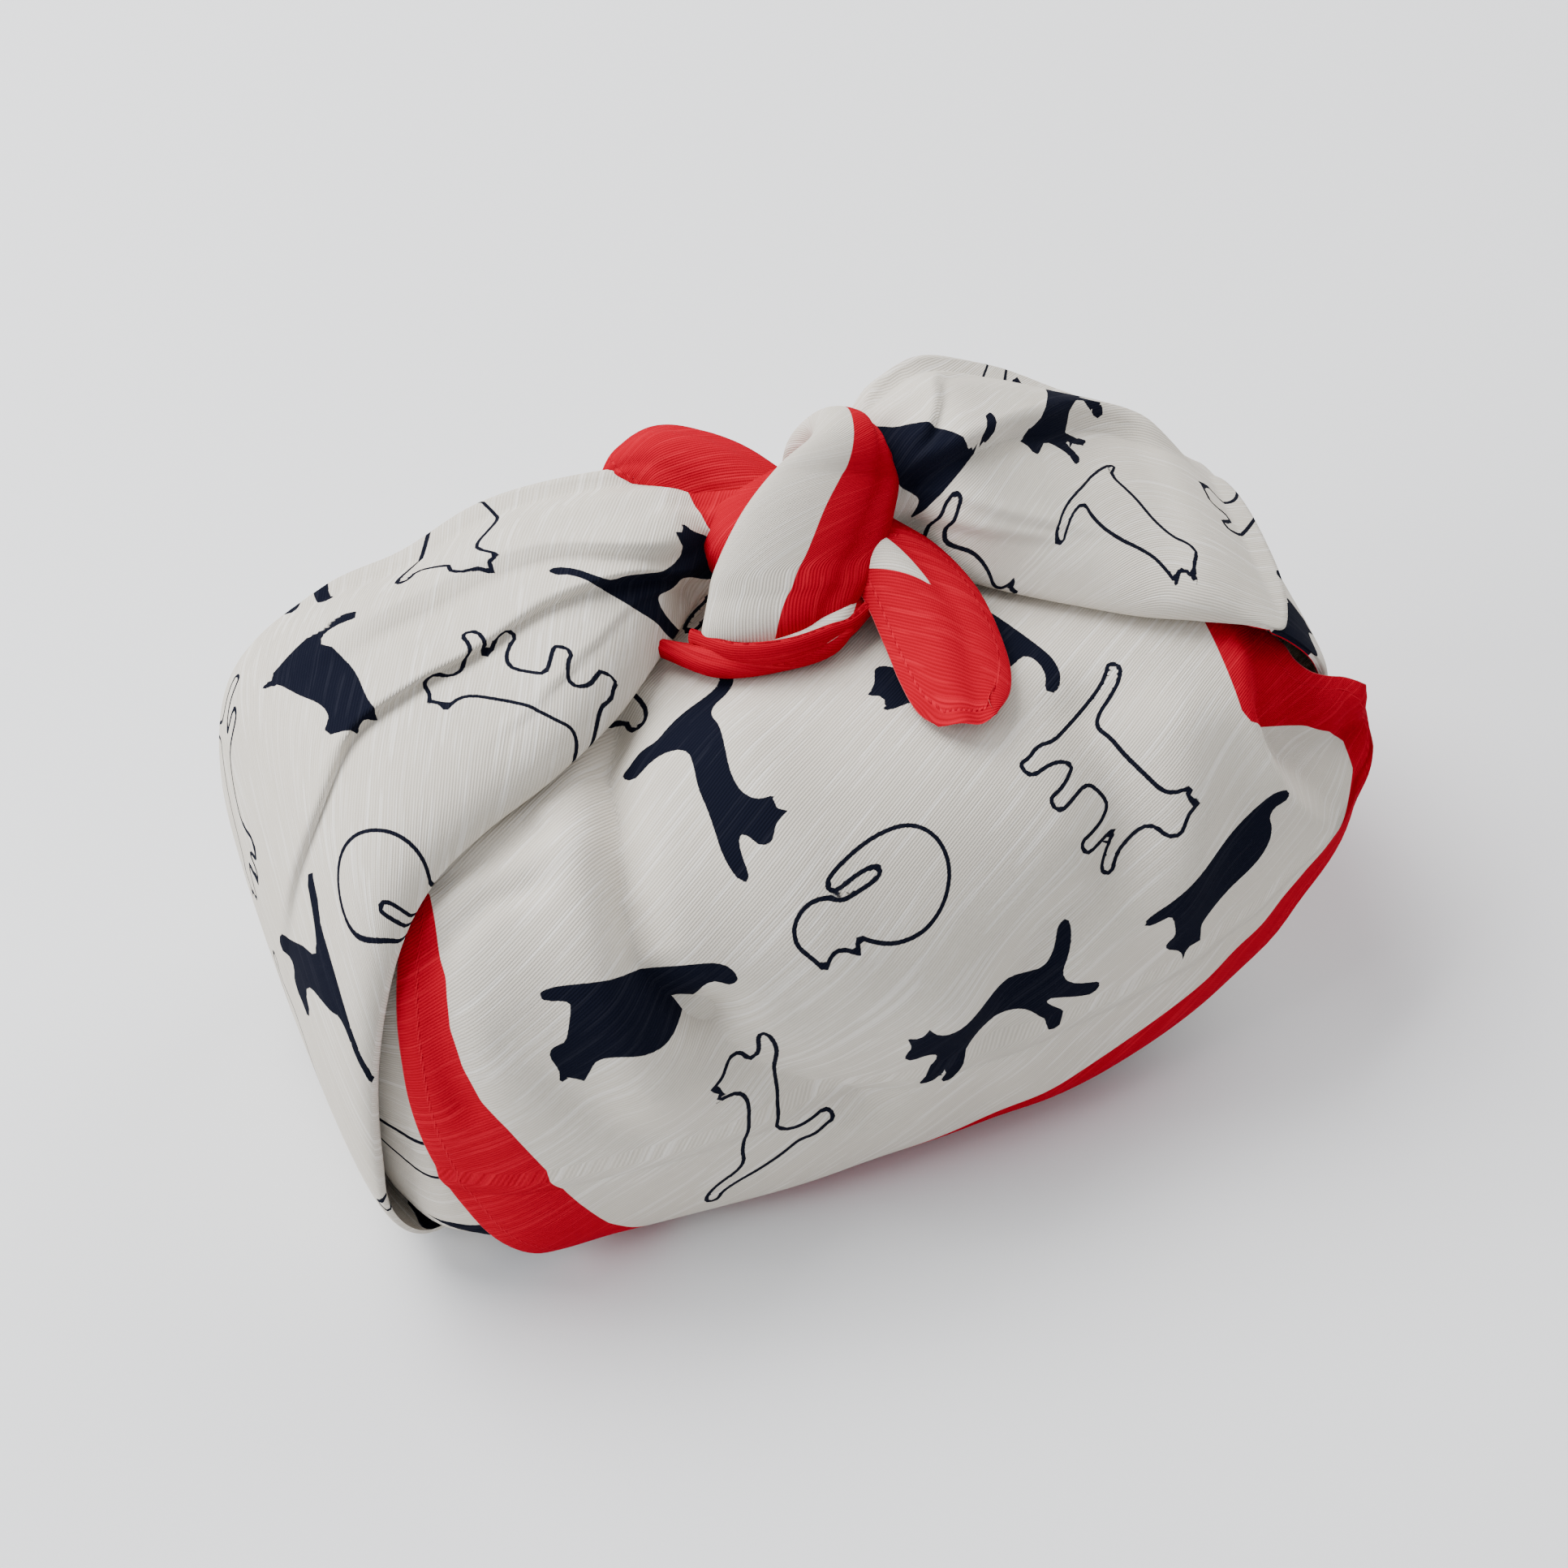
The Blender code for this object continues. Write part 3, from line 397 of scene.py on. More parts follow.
@dataclass
class Arm:
    """A side corner of the cloth, from the knot over the shoulder and down the end."""

    name: str
    load: Load
    ribs: list
    pleats: list
    rests_until: float
    steps: tuple                  # how many rows and columns
    grain: float                  # angle of the weave to the arm
    shift: tuple
    red_roll: float               # how far inside the border the turned-in edge is
    knot_red: tuple = ()          # where the border starts near the knot: (across, along)
    pleat_edge: float = 2.6       # width of the step down from a pleat's edge
    pleat_dip: float = 0.35       # how far the cloth dips ahead of it, as a share of its depth
    power: float = 2.3            # how round the arm's section is; 2 is an ellipse
    roll: float = 2.5             # radius of its rolled edges
    roll_run: float = 22.0        # how far the cloth goes on under them
    rest_gap: float = 2.3         # how far over the load's skin it lies
    roll_columns: int = 8         # columns of each rolled edge

    def line(self, pleat: Pleat, along: np.ndarray) -> np.ndarray:
        """Where a pleat lies across the arm, a value for each place along it."""
        places, across = zip(*pleat.line)
        return spline(places, across, along)[:, [0]]

    def places(self, along: np.ndarray, shares: np.ndarray) -> np.ndarray:
        """Places across the arm, with columns that follow the main pleats."""
        main = [p for p in self.pleats if p.share]
        marks = [0.0] + [p.share for p in main] + [1.0]
        none = 0 * along[:, None]
        lines = np.concatenate([none] + [self.line(p, along) for p in main] + [none + 1], 1)
        return np.stack([np.interp(shares, marks, line) for line in lines])

    def press(self, along: np.ndarray, across: np.ndarray, width: np.ndarray) -> np.ndarray:
        """How far the cloth lies in from its round shape, less where pleats stand up."""
        press = np.zeros_like(across)
        for p in self.pleats:
            fade = soft_step((along - p.start) / 0.05) * soft_step((p.end - along) / 0.14)
            gap = (across - self.line(p, along)) * width * 1.2
            step = soft_step(gap / self.pleat_edge)
            ahead = (1 - step) * np.exp(np.minimum(gap, 0) / p.width)
            behind = step * np.exp(-np.maximum(gap, 0) / p.width)
            press += p.depth * fade[:, None] * (self.pleat_dip * ahead - behind)
        t = along[:, None]
        near = np.exp(-((t - 0.05) / 0.16) ** 2)
        press += near * (0.5 * np.sin(across * 31 + 0.6 * np.sin(t * 9))
                         + 0.3 * np.sin(across * 53 + 2))
        press += 0.4 * np.sin(t * 21 + 1.2) * np.sin(across * 7 + t * 5)
        return press * soft_step(across / 0.05) * soft_step((1 - across) / 0.05)

    def patch(self) -> Patch:
        """The arm's surface with both rolled edges."""
        along = np.linspace(0, 1, self.steps[0])
        across = self.places(along, np.linspace(0, 1, self.steps[1]))
        table = np.array([rib.front + rib.crest + rib.back for rib in self.ribs], float)
        q = spline(np.linspace(0, 1, len(self.ribs)), table, along)
        front, crest, back = q[:, :3], q[:, 3:6], q[:, 6:]
        resting = along < self.rests_until
        for side in (front, back):
            side[resting] = self.load.rest(side[resting], self.rest_gap + self.roll + 0.3)
        span = back - front
        share = np.clip(((crest - front) * span).sum(1) / (span * span).sum(1), 0.2, 0.8)
        foot = front + span * share[:, None]
        c, s = np.cos(np.pi * across), np.sin(np.pi * across)
        c, s = np.abs(c) ** (2 / self.power) * np.sign(c), np.abs(s) ** (2 / self.power)
        side = np.where(c[..., None] > 0, (front - foot)[:, None], (back - foot)[:, None])
        arch = side * np.abs(c)[..., None] + (crest - foot)[:, None] * s[..., None]
        press = self.press(along, across, np.linalg.norm(span, axis=1)[:, None])
        length = np.linalg.norm(arch, axis=-1)
        body = foot[:, None] + arch
        rolled = soft_step((self.rests_until - 0.04 - along) / 0.08)
        rolls = []
        for rim in (front, back):
            inward = foot - rim
            inward /= np.linalg.norm(inward, axis=1)[:, None]
            down = np.cross(np.gradient(rim, axis=0), inward)
            heart = np.stack([0.5 * rim[:, 0], 0 * rim[:, 1], 0 * rim[:, 2] + 60], 1) - rim
            down *= (np.sign((down * heart).sum(1)) / np.linalg.norm(down, axis=1))[:, None]
            inward = inward * rolled[:, None]
            down *= 0.4 + 0.6 * rolled[:, None]
            turn = [rim + self.roll * ((1 - np.cos(a)) * inward + np.sin(a) * down)
                    for a in np.radians((18, 36, 54, 72, 90))]
            last = turn[-1]
            turn += [last + inward * self.roll_run * f + down * f for f in (0.3, 0.65, 1.0)]
            rolls.append(turn)
        before, after = np.stack(rolls[0][::-1], 1), np.stack(rolls[1], 1)
        points = np.concatenate([before, body, after], 1)
        points[resting] = self.load.rest(points[resting], self.rest_gap)
        inner = slice(self.roll_columns, -self.roll_columns)
        points[:, inner] -= arch * (press / length)[..., None]
        points[resting] = self.load.rest(points[resting], self.rest_gap)
        gone = arc_lengths(points, 1)
        middle = gone[:, [points.shape[1] // 2]]
        length = arc_lengths(points, 0)[:, points.shape[1] // 2][:, None]
        place = np.stack([length + 0 * gone, gone - middle], -1)
        turned = np.minimum(np.arange(points.shape[1]), np.arange(points.shape[1])[::-1])
        inside = (self.red_roll + 4 * (5.0 - turned))[None, :] + 0 * gone
        red = np.where(inside > 0, inside, -30.0)
        if self.knot_red:
            pad = (self.roll_columns, self.roll_columns)
            start = np.interp(np.pad(across, ((0, 0), pad), "edge"), *zip(*self.knot_red))
            red = np.maximum(red, (start - along[:, None]) * length[-1, 0])
        return Patch(self.name, points, place, red, NO_HEM + 0 * gone, 0 * gone, 0 * gone,
                     turn=self.grain, shift=self.shift)


def left_arm(load: Load) -> Arm:
    """The arm over the closed left end."""
    return Arm("left_arm", load, [
        Rib((-4, 12, 146), (-8, 26, 163), (-4, 42, 146)),
        Rib((-25, 22, 138), (-24, 37, 159), (-22, 55, 138)),
        Rib((-41, 8, 136), (-48, 38, 160), (-46, 66, 132)),
        Rib((-62, -12, 135), (-73, 40, 154), (-74, 76, 122)),
        Rib((-84, -26, 134), (-96, 43, 142), (-100, 78, 110)),
        Rib((-106, -36, 132), (-119, 44, 138), (-124, 77, 102)),
        Rib((-125, -46, 127), (-140, 43, 131), (-143, 73, 90)),
        Rib((-139, -58, 115), (-154, 38, 117), (-153, 68, 78)),
        Rib((-149, -68, 88), (-161, 16, 94), (-157, 62, 62)),
        Rib((-152, -70, 52), (-161, 0, 58), (-155, 60, 40)),
        Rib((-150, -68, 24), (-156, 0, 27), (-150, 56, 19)),
        Rib((-140, -65, 7), (-143, 0, 7.5), (-139, 50, 7)),
        Rib((-121, -60, 6), (-121, 0, 6.5), (-121, 44, 6))],
        [Pleat(0.30, 0.07, 0.76, 5.0, 18.0,
               ((0, 0.05), (0.10, 0.09), (0.165, 0.23), (0.215, 0.305), (0.265, 0.345),
                (0.315, 0.356), (0.37, 0.35), (0.475, 0.33), (0.585, 0.306), (0.65, 0.35),
                (0.75, 0.425), (0.85, 0.42), (1, 0.40))),
         Pleat(0.45, 0.07, 0.52, 4.0, 16.0,
               ((0, 0.15), (0.11, 0.213), (0.17, 0.319), (0.23, 0.431), (0.27, 0.456),
                (0.31, 0.469), (0.36, 0.465), (0.475, 0.45), (0.6, 0.50), (1, 0.55))),
         Pleat(0.66, 0.06, 0.50, 4.0, 14.0, ((0, 0.58), (0.08, 0.62), (0.45, 0.66), (1, 0.70))),
         Pleat(0, 0.06, 0.42, 1.6, 7.0,
               ((0.05, 0.02), (0.105, 0.051), (0.175, 0.165), (0.235, 0.185), (0.40, 0.16)))],
        0.87, (157, 82), np.radians(122), (30.0, 4.0), -60.0,
        ((0.0, 0.045), (0.186, 0.060), (0.324, 0.075), (0.511, 0.085), (1.0, 0.10)))


def right_arm(load: Load) -> Arm:
    """The arm over the open right end, which goes down inside it."""
    return Arm("right_arm", load, [
        Rib((8, 12, 146), (10, 26, 166), (8, 42, 146)),
        Rib((30, 19, 138), (32, 37, 168), (26, 58, 138)),
        Rib((43, 5, 137), (50, 40, 172), (46, 70, 132)),
        Rib((55, -5, 137), (71, 41, 161), (68, 78, 124)),
        Rib((70, -15, 136), (91, 40, 149), (88, 78, 120)),
        Rib((86, -24, 135), (109, 34, 140), (106, 74, 117)),
        Rib((101, -29, 133), (120, 23, 135), (122, 63, 114)),
        Rib((116, -32, 128), (133, 8, 121), (136, 50, 108)),
        Rib((128, -34, 120), (144, -6, 104), (145, 42, 100)),
        Rib((138, -34, 106), (149, -8, 90), (149, 40, 88)),
        Rib((141, -36, 87), (145, -2, 74), (144, 38, 74)),
        Rib((133, -34, 60), (134, 0, 54), (133, 34, 55)),
        Rib((116, -30, 28.2), (116, 0, 28.2), (116, 30, 28.2))],
        [Pleat(0.15, 0.05, 0.34, 2.0, 8.0,
               ((0, 0.06), (0.2, 0.10), (0.34, 0.16), (0.55, 0.26), (1, 0.30))),
         Pleat(0.45, 0.06, 0.56, 6.5, 16.0,
               ((0, 0.15), (0.09, 0.225), (0.16, 0.288), (0.20, 0.338), (0.24, 0.406),
                (0.315, 0.481), (0.40, 0.556), (0.455, 0.575), (0.52, 0.62), (1, 0.64))),
         Pleat(0.73, 0.06, 0.42, 4.5, 14.0, ((0, 0.60), (0.2, 0.68), (0.4, 0.75), (1, 0.8))),
         Pleat(0, 0.07, 0.26, 3.0, 9.0,
               ((0.05, 0.25), (0.085, 0.285), (0.125, 0.352), (0.15, 0.431), (0.175, 0.534),
                (0.25, 0.62))),
         Pleat(0, 0.06, 0.40, 1.4, 6.0,
               ((0.05, 0.14), (0.105, 0.158), (0.205, 0.155), (0.285, 0.18), (0.40, 0.22))),
         Pleat(0, 0.07, 0.30, 1.2, 5.0, ((0.05, 0.09), (0.105, 0.10), (0.30, 0.055)))],
        0.62, (144, 76), np.radians(20), (26.0, -8.0), -9.0)


@dataclass
class KnotStrand:
    """A band of folded cloth in the knot, given by its two edges."""

    name: str
    rows: list
    steps: tuple
    red_from: float               # the red's arc round the band, in degrees
    red_to: float
    creases: tuple = ()           # (angle, depth share, width in degrees)
    grain: float = 0.0
    red_moves: tuple = ((0, 0), (1, 0))   # degrees by which the red reaches further
    rim: tuple = ()               # where the hem's edge lies: (share along, degrees)
    spot: tuple = ()              # a cream spot: share along, degrees, and its half sizes

    def patch(self) -> Patch:
        """The band's closed surface."""
        table = np.array([tuple(r.one) + tuple(r.other) + (r.thick,) for r in self.rows], float)
        q = spline(np.linspace(0, 1, len(self.rows)), table, np.linspace(0, 1, self.steps[0]))
        centre, half = (q[:, :3] + q[:, 3:6]) / 2, (q[:, 3:6] - q[:, :3]) / 2
        along = np.gradient(centre, axis=0)
        normal = np.cross(along, half)
        normal *= (q[:, 6] / 2 / np.linalg.norm(normal, axis=1))[:, None]
        angle = np.linspace(0, 2 * np.pi, self.steps[1] + 1)
        swell = np.ones((len(q), len(angle)))
        t = np.linspace(0, 1, len(q))[:, None]
        for at, depth, width in self.creases:
            line = np.radians(at) + 0.25 * np.sin(3 * t + at)
            off = np.angle(np.exp(1j * (angle[None, :] - line)))
            swell -= depth * bump(off / np.radians(width))
        if self.rim:
            rim = np.radians(np.interp(t, *zip(*self.rim)))
            beyond = np.angle(np.exp(1j * (angle[None, :] - rim)))
            swell -= 0.07 * soft_step(-beyond / 0.12) * np.exp(np.minimum(beyond, 0) / 0.5)
        ring = (centre[:, None] + half[:, None] * (np.cos(angle)[None, :] * swell)[..., None]
                + normal[:, None] * (np.sin(angle)[None, :] * swell)[..., None])
        ring[:, -1] = ring[:, 0]
        size = np.linalg.norm(half, axis=1)[:, None]
        low = np.radians(self.red_from)
        high = np.radians(self.red_to + np.interp(t, *zip(*self.red_moves)))
        mid, reach = (low + high) / 2, (high - low) / 2
        off = np.abs(np.angle(np.exp(1j * (angle[None, :] - mid))))
        red = (reach - off) * size
        if self.spot:
            far = np.hypot((t - self.spot[0]) / self.spot[2],
                           (np.degrees(angle)[None, :] - self.spot[1]) / self.spot[3])
            red = np.minimum(red, (far - 1) * 6)
        edge = np.abs(beyond) * size if self.rim else NO_HEM + 0 * red
        length = arc_lengths(ring, 0)[:, [0]]
        place = np.stack([length + 0 * red, angle[None, :] * size], -1)
        return Patch(self.name, ring, place, red, edge, length + 0 * red, 0 * red,
                     turn=self.grain, printed=False, tube=True)


@dataclass
class ForwardEnd:
    """The right free end, which hangs forward as a leaf with its hems stitched."""

    ribs: list = field(default_factory=lambda: [
        Rib((8, 10, 148), (18, 16, 155), (27, 20, 152)),
        Rib((12, 0, 144), (24, 6, 152), (38, 11, 145)),
        Rib((13, -14, 139), (28, -5, 148), (44, -5, 140)),
        Rib((13, -26, 136), (30, -18, 144), (44, -25, 135.5)),
        Rib((14, -36, 134), (28, -31, 140), (40, -38, 134.5)),
        Rib((17.5, -42.5, 133), (25.5, -47, 135), (33, -45.5, 134))])
    steps: tuple = (62, 40)

    def patch(self) -> Patch:
        """The end's surface with a hem turned under on three sides."""
        table = np.array([rib.front + rib.crest + rib.back for rib in self.ribs], float)
        along, across = (np.linspace(0, 1, n) for n in self.steps)
        q = spline(np.linspace(0, 1, len(self.ribs)), table, along)
        t = across[None, :, None]
        points = (q[:, None, :3] * (1 - t) * (1 - 2 * t) + q[:, None, 3:6] * 4 * t * (1 - t)
                  + q[:, None, 6:] * t * (2 * t - 1))
        wave = (0.7 * np.sin(9 * across + 2)[None, :] * soft_step(along * 2)[:, None]
                + 1.1 * bump((across - 0.62) / 0.10)[None, :] * (1 - along)[:, None])
        points[..., 2] -= wave
        gone, length = arc_lengths(points, 1), arc_lengths(points, 0)
        edge = np.minimum(np.minimum(gone, gone[:, [-1]] - gone), length[[-1]] - length)
        cream = np.minimum((0.56 - across)[None, :] * 30,
                           (across[None, :] - (along[:, None] - 0.04) * 1.5) * 22)
        place = np.stack([length, gone - gone[:, [-1]] / 2], -1)
        patch = Patch("forward_end", points, place, -cream, edge, length + gone, 0 * gone,
                      turn=np.radians(40), printed=False)
        left, right = (length[-1, k] - length[:, k] for k in (0, -1))
        return patch.with_hem(Side.FIRST, left).with_hem(Side.LAST, right)


@dataclass
class CurledEnd:
    """The left free end, a curled trough whose wrong side shows inside."""

    curls: list = field(default_factory=lambda: [
        Curl((-4, 36, 152), 11, -60, 250), Curl((-12, 44, 155), 12, -60, 245),
        Curl((-20, 50, 157), 12, -55, 235), Curl((-28, 55, 158), 11, -45, 220),
        Curl((-36, 57, 157), 7, -20, 190), Curl((-42, 57, 155), 3, 20, 150)])
    steps: tuple = (52, 60)

    def layer(self, name: str, inset: float, wrong: float) -> Patch:
        """One side of the end's cloth.

        Args:
            name: the patch's name.
            inset: how far under the outer side it lies.
            wrong: 1 for the wrong side of the cloth.

        Returns:
            The side's surface.
        """
        table = np.array([c.centre + (c.radius, c.start, c.end) for c in self.curls], float)
        along, across = (np.linspace(0, 1, n) for n in self.steps)
        q = spline(np.linspace(0, 1, len(self.curls)), table, along)
        axis = np.gradient(q[:, :3], axis=0)
        axis /= np.linalg.norm(axis, axis=1)[:, None]
        side = np.cross(axis, (0, 0, 1.0))
        side /= np.linalg.norm(side, axis=1)[:, None]
        up = np.cross(side, axis)
        angle = np.radians(q[:, 4:5] + (q[:, 5:6] - q[:, 4:5]) * across[None, :])
        fold = 1 - 0.10 * bump((across - 0.42) / 0.05) - 0.07 * bump((across - 0.70) / 0.05)
        radius = (q[:, 3:4] - inset) * fold[None, :]
        points = q[:, None, :3] + radius[..., None] * (
            side[:, None] * np.cos(angle)[..., None] + up[:, None] * np.sin(angle)[..., None])
        gone, length = arc_lengths(points, 1), arc_lengths(points, 0)
        edge = np.minimum(np.minimum(gone, gone[:, [-1]] - gone), length[[-1]] - length)
        place = np.stack([length, gone - gone[:, [-1]] / 2], -1)
        red = 7.5 - edge if wrong else 6 + 0 * gone
        return Patch(name, points, place, red, edge, length + gone, wrong + 0 * gone,
                     turn=np.radians(40), printed=False)

    def patches(self) -> list:
        """The right side, and the wrong side inside it."""
        return [self.layer("curled_end", 0.0, 0.0), self.layer("curled_end_inside", 0.8, 1.0)]


@dataclass
class KnotCore:
    """The heart of the knot, where the strands press together."""

    centre: tuple = (0.0, 25.0, 149.0)
    radii: tuple = (25.0, 20.0, 17.0)
    steps: tuple = (22, 36)

    def patch(self) -> Patch:
        """A closed, lightly pleated ball."""
        down = np.linspace(0.02, np.pi - 0.02, self.steps[0])[:, None]
        turn = np.linspace(0, 2 * np.pi, self.steps[1] + 1)[None, :]
        swell = 1 + 0.02 * np.sin(9 * turn + 3 * down)
        unit = np.stack([np.sin(down) * np.cos(turn) * swell, np.sin(down) * np.sin(turn) * swell,
                         np.cos(down) + 0 * turn], -1)
        points = np.array(self.centre) + unit * np.array(self.radii)
        points[:, -1] = points[:, 0]
        zero = 0 * unit[..., 0]
        place = np.stack([down * 20 + zero, turn * 20 + zero], -1)
        return Patch("knot_core", points, place, 6 + zero, NO_HEM + zero, zero, zero,
                     printed=False, tube=True)


def knot_strands() -> list:
    """The three bands that show in the knot."""
    loop = KnotStrand("knot_loop", [
        Strand((-31, 7, 133), (3, 2, 129), 8), Strand((-34, 1, 143), (6, -2, 138), 13),
        Strand((-30, 7, 150), (16, 4, 144), 15), Strand((-26, 12, 156), (23, 11, 148), 16),
        Strand((-15, 21, 165), (28, 17, 154), 15), Strand((-3, 28, 171), (32, 24, 160), 14),
        Strand((9, 33, 175), (30, 31, 168), 13), Strand((12, 43, 170), (30, 42, 162), 13),
        Strand((8, 50, 156), (26, 49, 150), 13), Strand((5, 46, 140), (20, 46, 138), 10)],
        (96, 72), -95, 88, ((62, 0.10, 9), (28, 0.12, 8), (118, 0.05, 10), (-40, 0.1, 12)),
        np.radians(38), ((0, 26), (0.30, 22), (0.36, 4), (1, 0)),
        ((0, 66), (0.22, 48), (0.42, 14), (0.62, -4), (1, -8)))
    under = KnotStrand("knot_under", [
        Strand((-46, 6, 136), (-46, 12, 137), 5), Strand((-33, -8, 136), (-33, 2, 139), 8),
        Strand((-15, -12, 136), (-15, 0, 141), 9), Strand((1, -11, 137), (1, 1, 142), 9),
        Strand((13, 0, 139), (11, 10, 144), 7)],
        (44, 28), -400, 400, ((100, 0.15, 12),), np.radians(30),
        spot=(0.66, 84, 0.32, 44))
    hem = KnotStrand("knot_hem", [
        Strand((-36, 3, 138.5), (-36, 4, 144), 3.4), Strand((-27, -7, 137.6), (-27, -6, 145), 3.8),
        Strand((-14, -11, 137), (-14, -10, 145.6), 4.0),
        Strand((-1, -9, 136.4), (-1, -8, 144.6), 4.0),
        Strand((8, -4, 136), (9, -4, 142.6), 3.8), Strand((20, 4, 142), (23, 4, 147), 3.6),
        Strand((25, 11, 149), (27, 12, 152), 3.2)],
        (80, 20), -400, 400, ((90, 0.06, 20),), 0.0, rim=((0, 193), (1, 193)))
    return [loop, under, hem]


class Ink(Enum):
    """How a drawing is printed."""

    SOLID = "ink_solid"
    LINE = "ink_line"


@dataclass(frozen=True)
class Drawing:
    """A plain drawing of a cat as a closed outline, in millimetres."""

    name: str
    dots: tuple

    def outline(self) -> np.ndarray:
        """The outline with its corners rounded, apart from the sharp ones."""
        points = np.array([d[:2] for d in self.dots], float)
        sharp = np.array([len(d) > 2 for d in self.dots])
        for _ in range(3):
            ahead, kept, marks = np.roll(points, -1, 0), [], []
            back = np.roll(points, 1, 0)
            for p, a, b, s in zip(points, ahead, back, sharp):
                if s:
                    kept.append(p)
                    marks.append(True)
                else:
                    kept += [p * 0.75 + b * 0.25, p * 0.75 + a * 0.25]
                    marks += [False, False]
            points, sharp = np.array(kept), np.array(marks)
        return points


DRAWINGS = (
    Drawing("sitting", (
        (-9, 30, 1), (-6.5, 25.5), (-3.5, 25.8), (-0.5, 30.5, 1), (1.5, 24), (3, 19), (6, 13),
        (11, 4), (15, -7), (16, -17), (15, -23), (20, -24.5), (27, -22.5), (30.5, -17.5),
        (34, -20), (31.5, -26), (24, -29.5), (12, -29.5), (0, -29.5), (-9, -29.5), (-12, -27.5),
        (-9, -25.5), (-5.5, -25), (-6, -18), (-7, -8), (-6.5, 2), (-8, 9), (-10.5, 13),
        (-14.5, 14.5), (-17, 18), (-13.5, 21.5), (-11, 24))),
    Drawing("walking", (
        (-34, 8.5), (-31.5, 12), (-29.5, 14.5), (-28.8, 20, 1), (-25.5, 16.5), (-22.5, 20.5, 1),
        (-20.5, 15), (-17, 12), (-9, 11.5), (2, 11), (11, 12), (17, 11), (20.5, 15), (22, 22),
        (24, 28), (28, 32.5), (32, 30), (29, 26), (27, 20), (26, 12), (25, 6), (24, 0),
        (23.5, -6), (26, -11), (24.5, -17), (25.5, -21), (19, -21), (18.5, -14), (17, -9),
        (13, -5), (10.5, -9), (9, -15), (9.5, -21), (3, -21), (3.5, -13), (4, -5), (-2, -3.5),
        (-8, -3.5), (-11, -8), (-11.5, -14), (-10, -21), (-16.5, -21), (-17, -13), (-17.5, -6),
        (-19.5, -10), (-22.5, -15.5), (-27, -20), (-31.5, -17), (-26, -12), (-24, -4),
        (-23.5, 1), (-26, 4), (-31.5, 4.5))),
    Drawing("lying", (
        (-28, 8), (-26, 12), (-24.5, 14.5), (-24.5, 20.5, 1), (-20.5, 17), (-17, 21, 1),
        (-15, 15.5), (-13.5, 10.5), (-8, 9), (2, 10), (12, 9), (20, 4.5), (24, -2), (25, -8),
        (29, -9.5), (33, -6.5), (36.5, -9), (33, -14.5), (27, -16.5), (15, -16.5), (0, -16.5),
        (-15, -16.5), (-26, -16.5), (-31, -14.5), (-28, -11.5), (-20, -11.5), (-21, -6),
        (-22, 0), (-23, 3.5), (-27, 4.5))),
    Drawing("stretching", (
        (-32, -6), (-30, -2.5), (-28, 0), (-27.5, 6, 1), (-24, 2.5), (-21, 6.5, 1),
        (-19, 0.5), (-14, -2), (-6, 0), (3, 6), (11, 11), (17, 12.5), (20, 17), (21, 24),
        (24, 30), (28.5, 33), (31.5, 29.5), (27, 26), (25.5, 19), (25.5, 12), (25, 5),
        (24, -1), (22.5, -7), (25, -12), (24, -18), (25, -21), (18, -21), (18, -14), (16, -7),
        (11, -3), (5, -6), (-2, -10.5), (-9, -13), (-16, -16), (-25, -20), (-35, -21),
        (-36, -17.5), (-28, -15), (-23, -12), (-24.5, -9.5), (-29.5, -9.5))),
    Drawing("curled", (
        (-31, -9), (-29, -3), (-27.5, 3.5, 1), (-23, 0), (-19, 1), (-15.5, 6, 1), (-13, 0.5),
        (-10, 6), (-3, 13), (8, 16.5), (19, 13.5), (27, 5), (29, -6), (24, -15), (12, -19),
        (-2, -19.5), (-12, -18.5), (-12, -14), (-1, -13.5), (8, -11), (5, -7.5), (-4, -9),
        (-11, -10.5), (-14, -15), (-21, -17.5), (-28, -15))),
    Drawing("leaping", (
        (35, 12), (32, 15.5), (30, 17), (30, 23, 1), (26, 19.5), (22, 23, 1), (20.5, 16.5),
        (14, 12.5), (4, 12), (-8, 9), (-17, 4.5), (-22, 3.5), (-28, 8), (-33, 15.5), (-38, 15.5),
        (-36, 10), (-31, 3), (-25, -3), (-26, -9), (-31, -15), (-36, -20), (-31, -24),
        (-26, -19), (-20, -12), (-15, -9), (-17, -15), (-20, -22), (-14, -23), (-11.5, -17),
        (-9, -9), (-2, -5), (8, -3), (15, -5), (20, -11), (25, -17), (30, -14.5), (26.5, -10),
        (22.5, -4), (26, -5.5), (31, -9.5), (35.5, -6.5), (32.5, -3), (26, 1), (24.5, 5),
        (28, 8), (33.5, 8.5))),
)


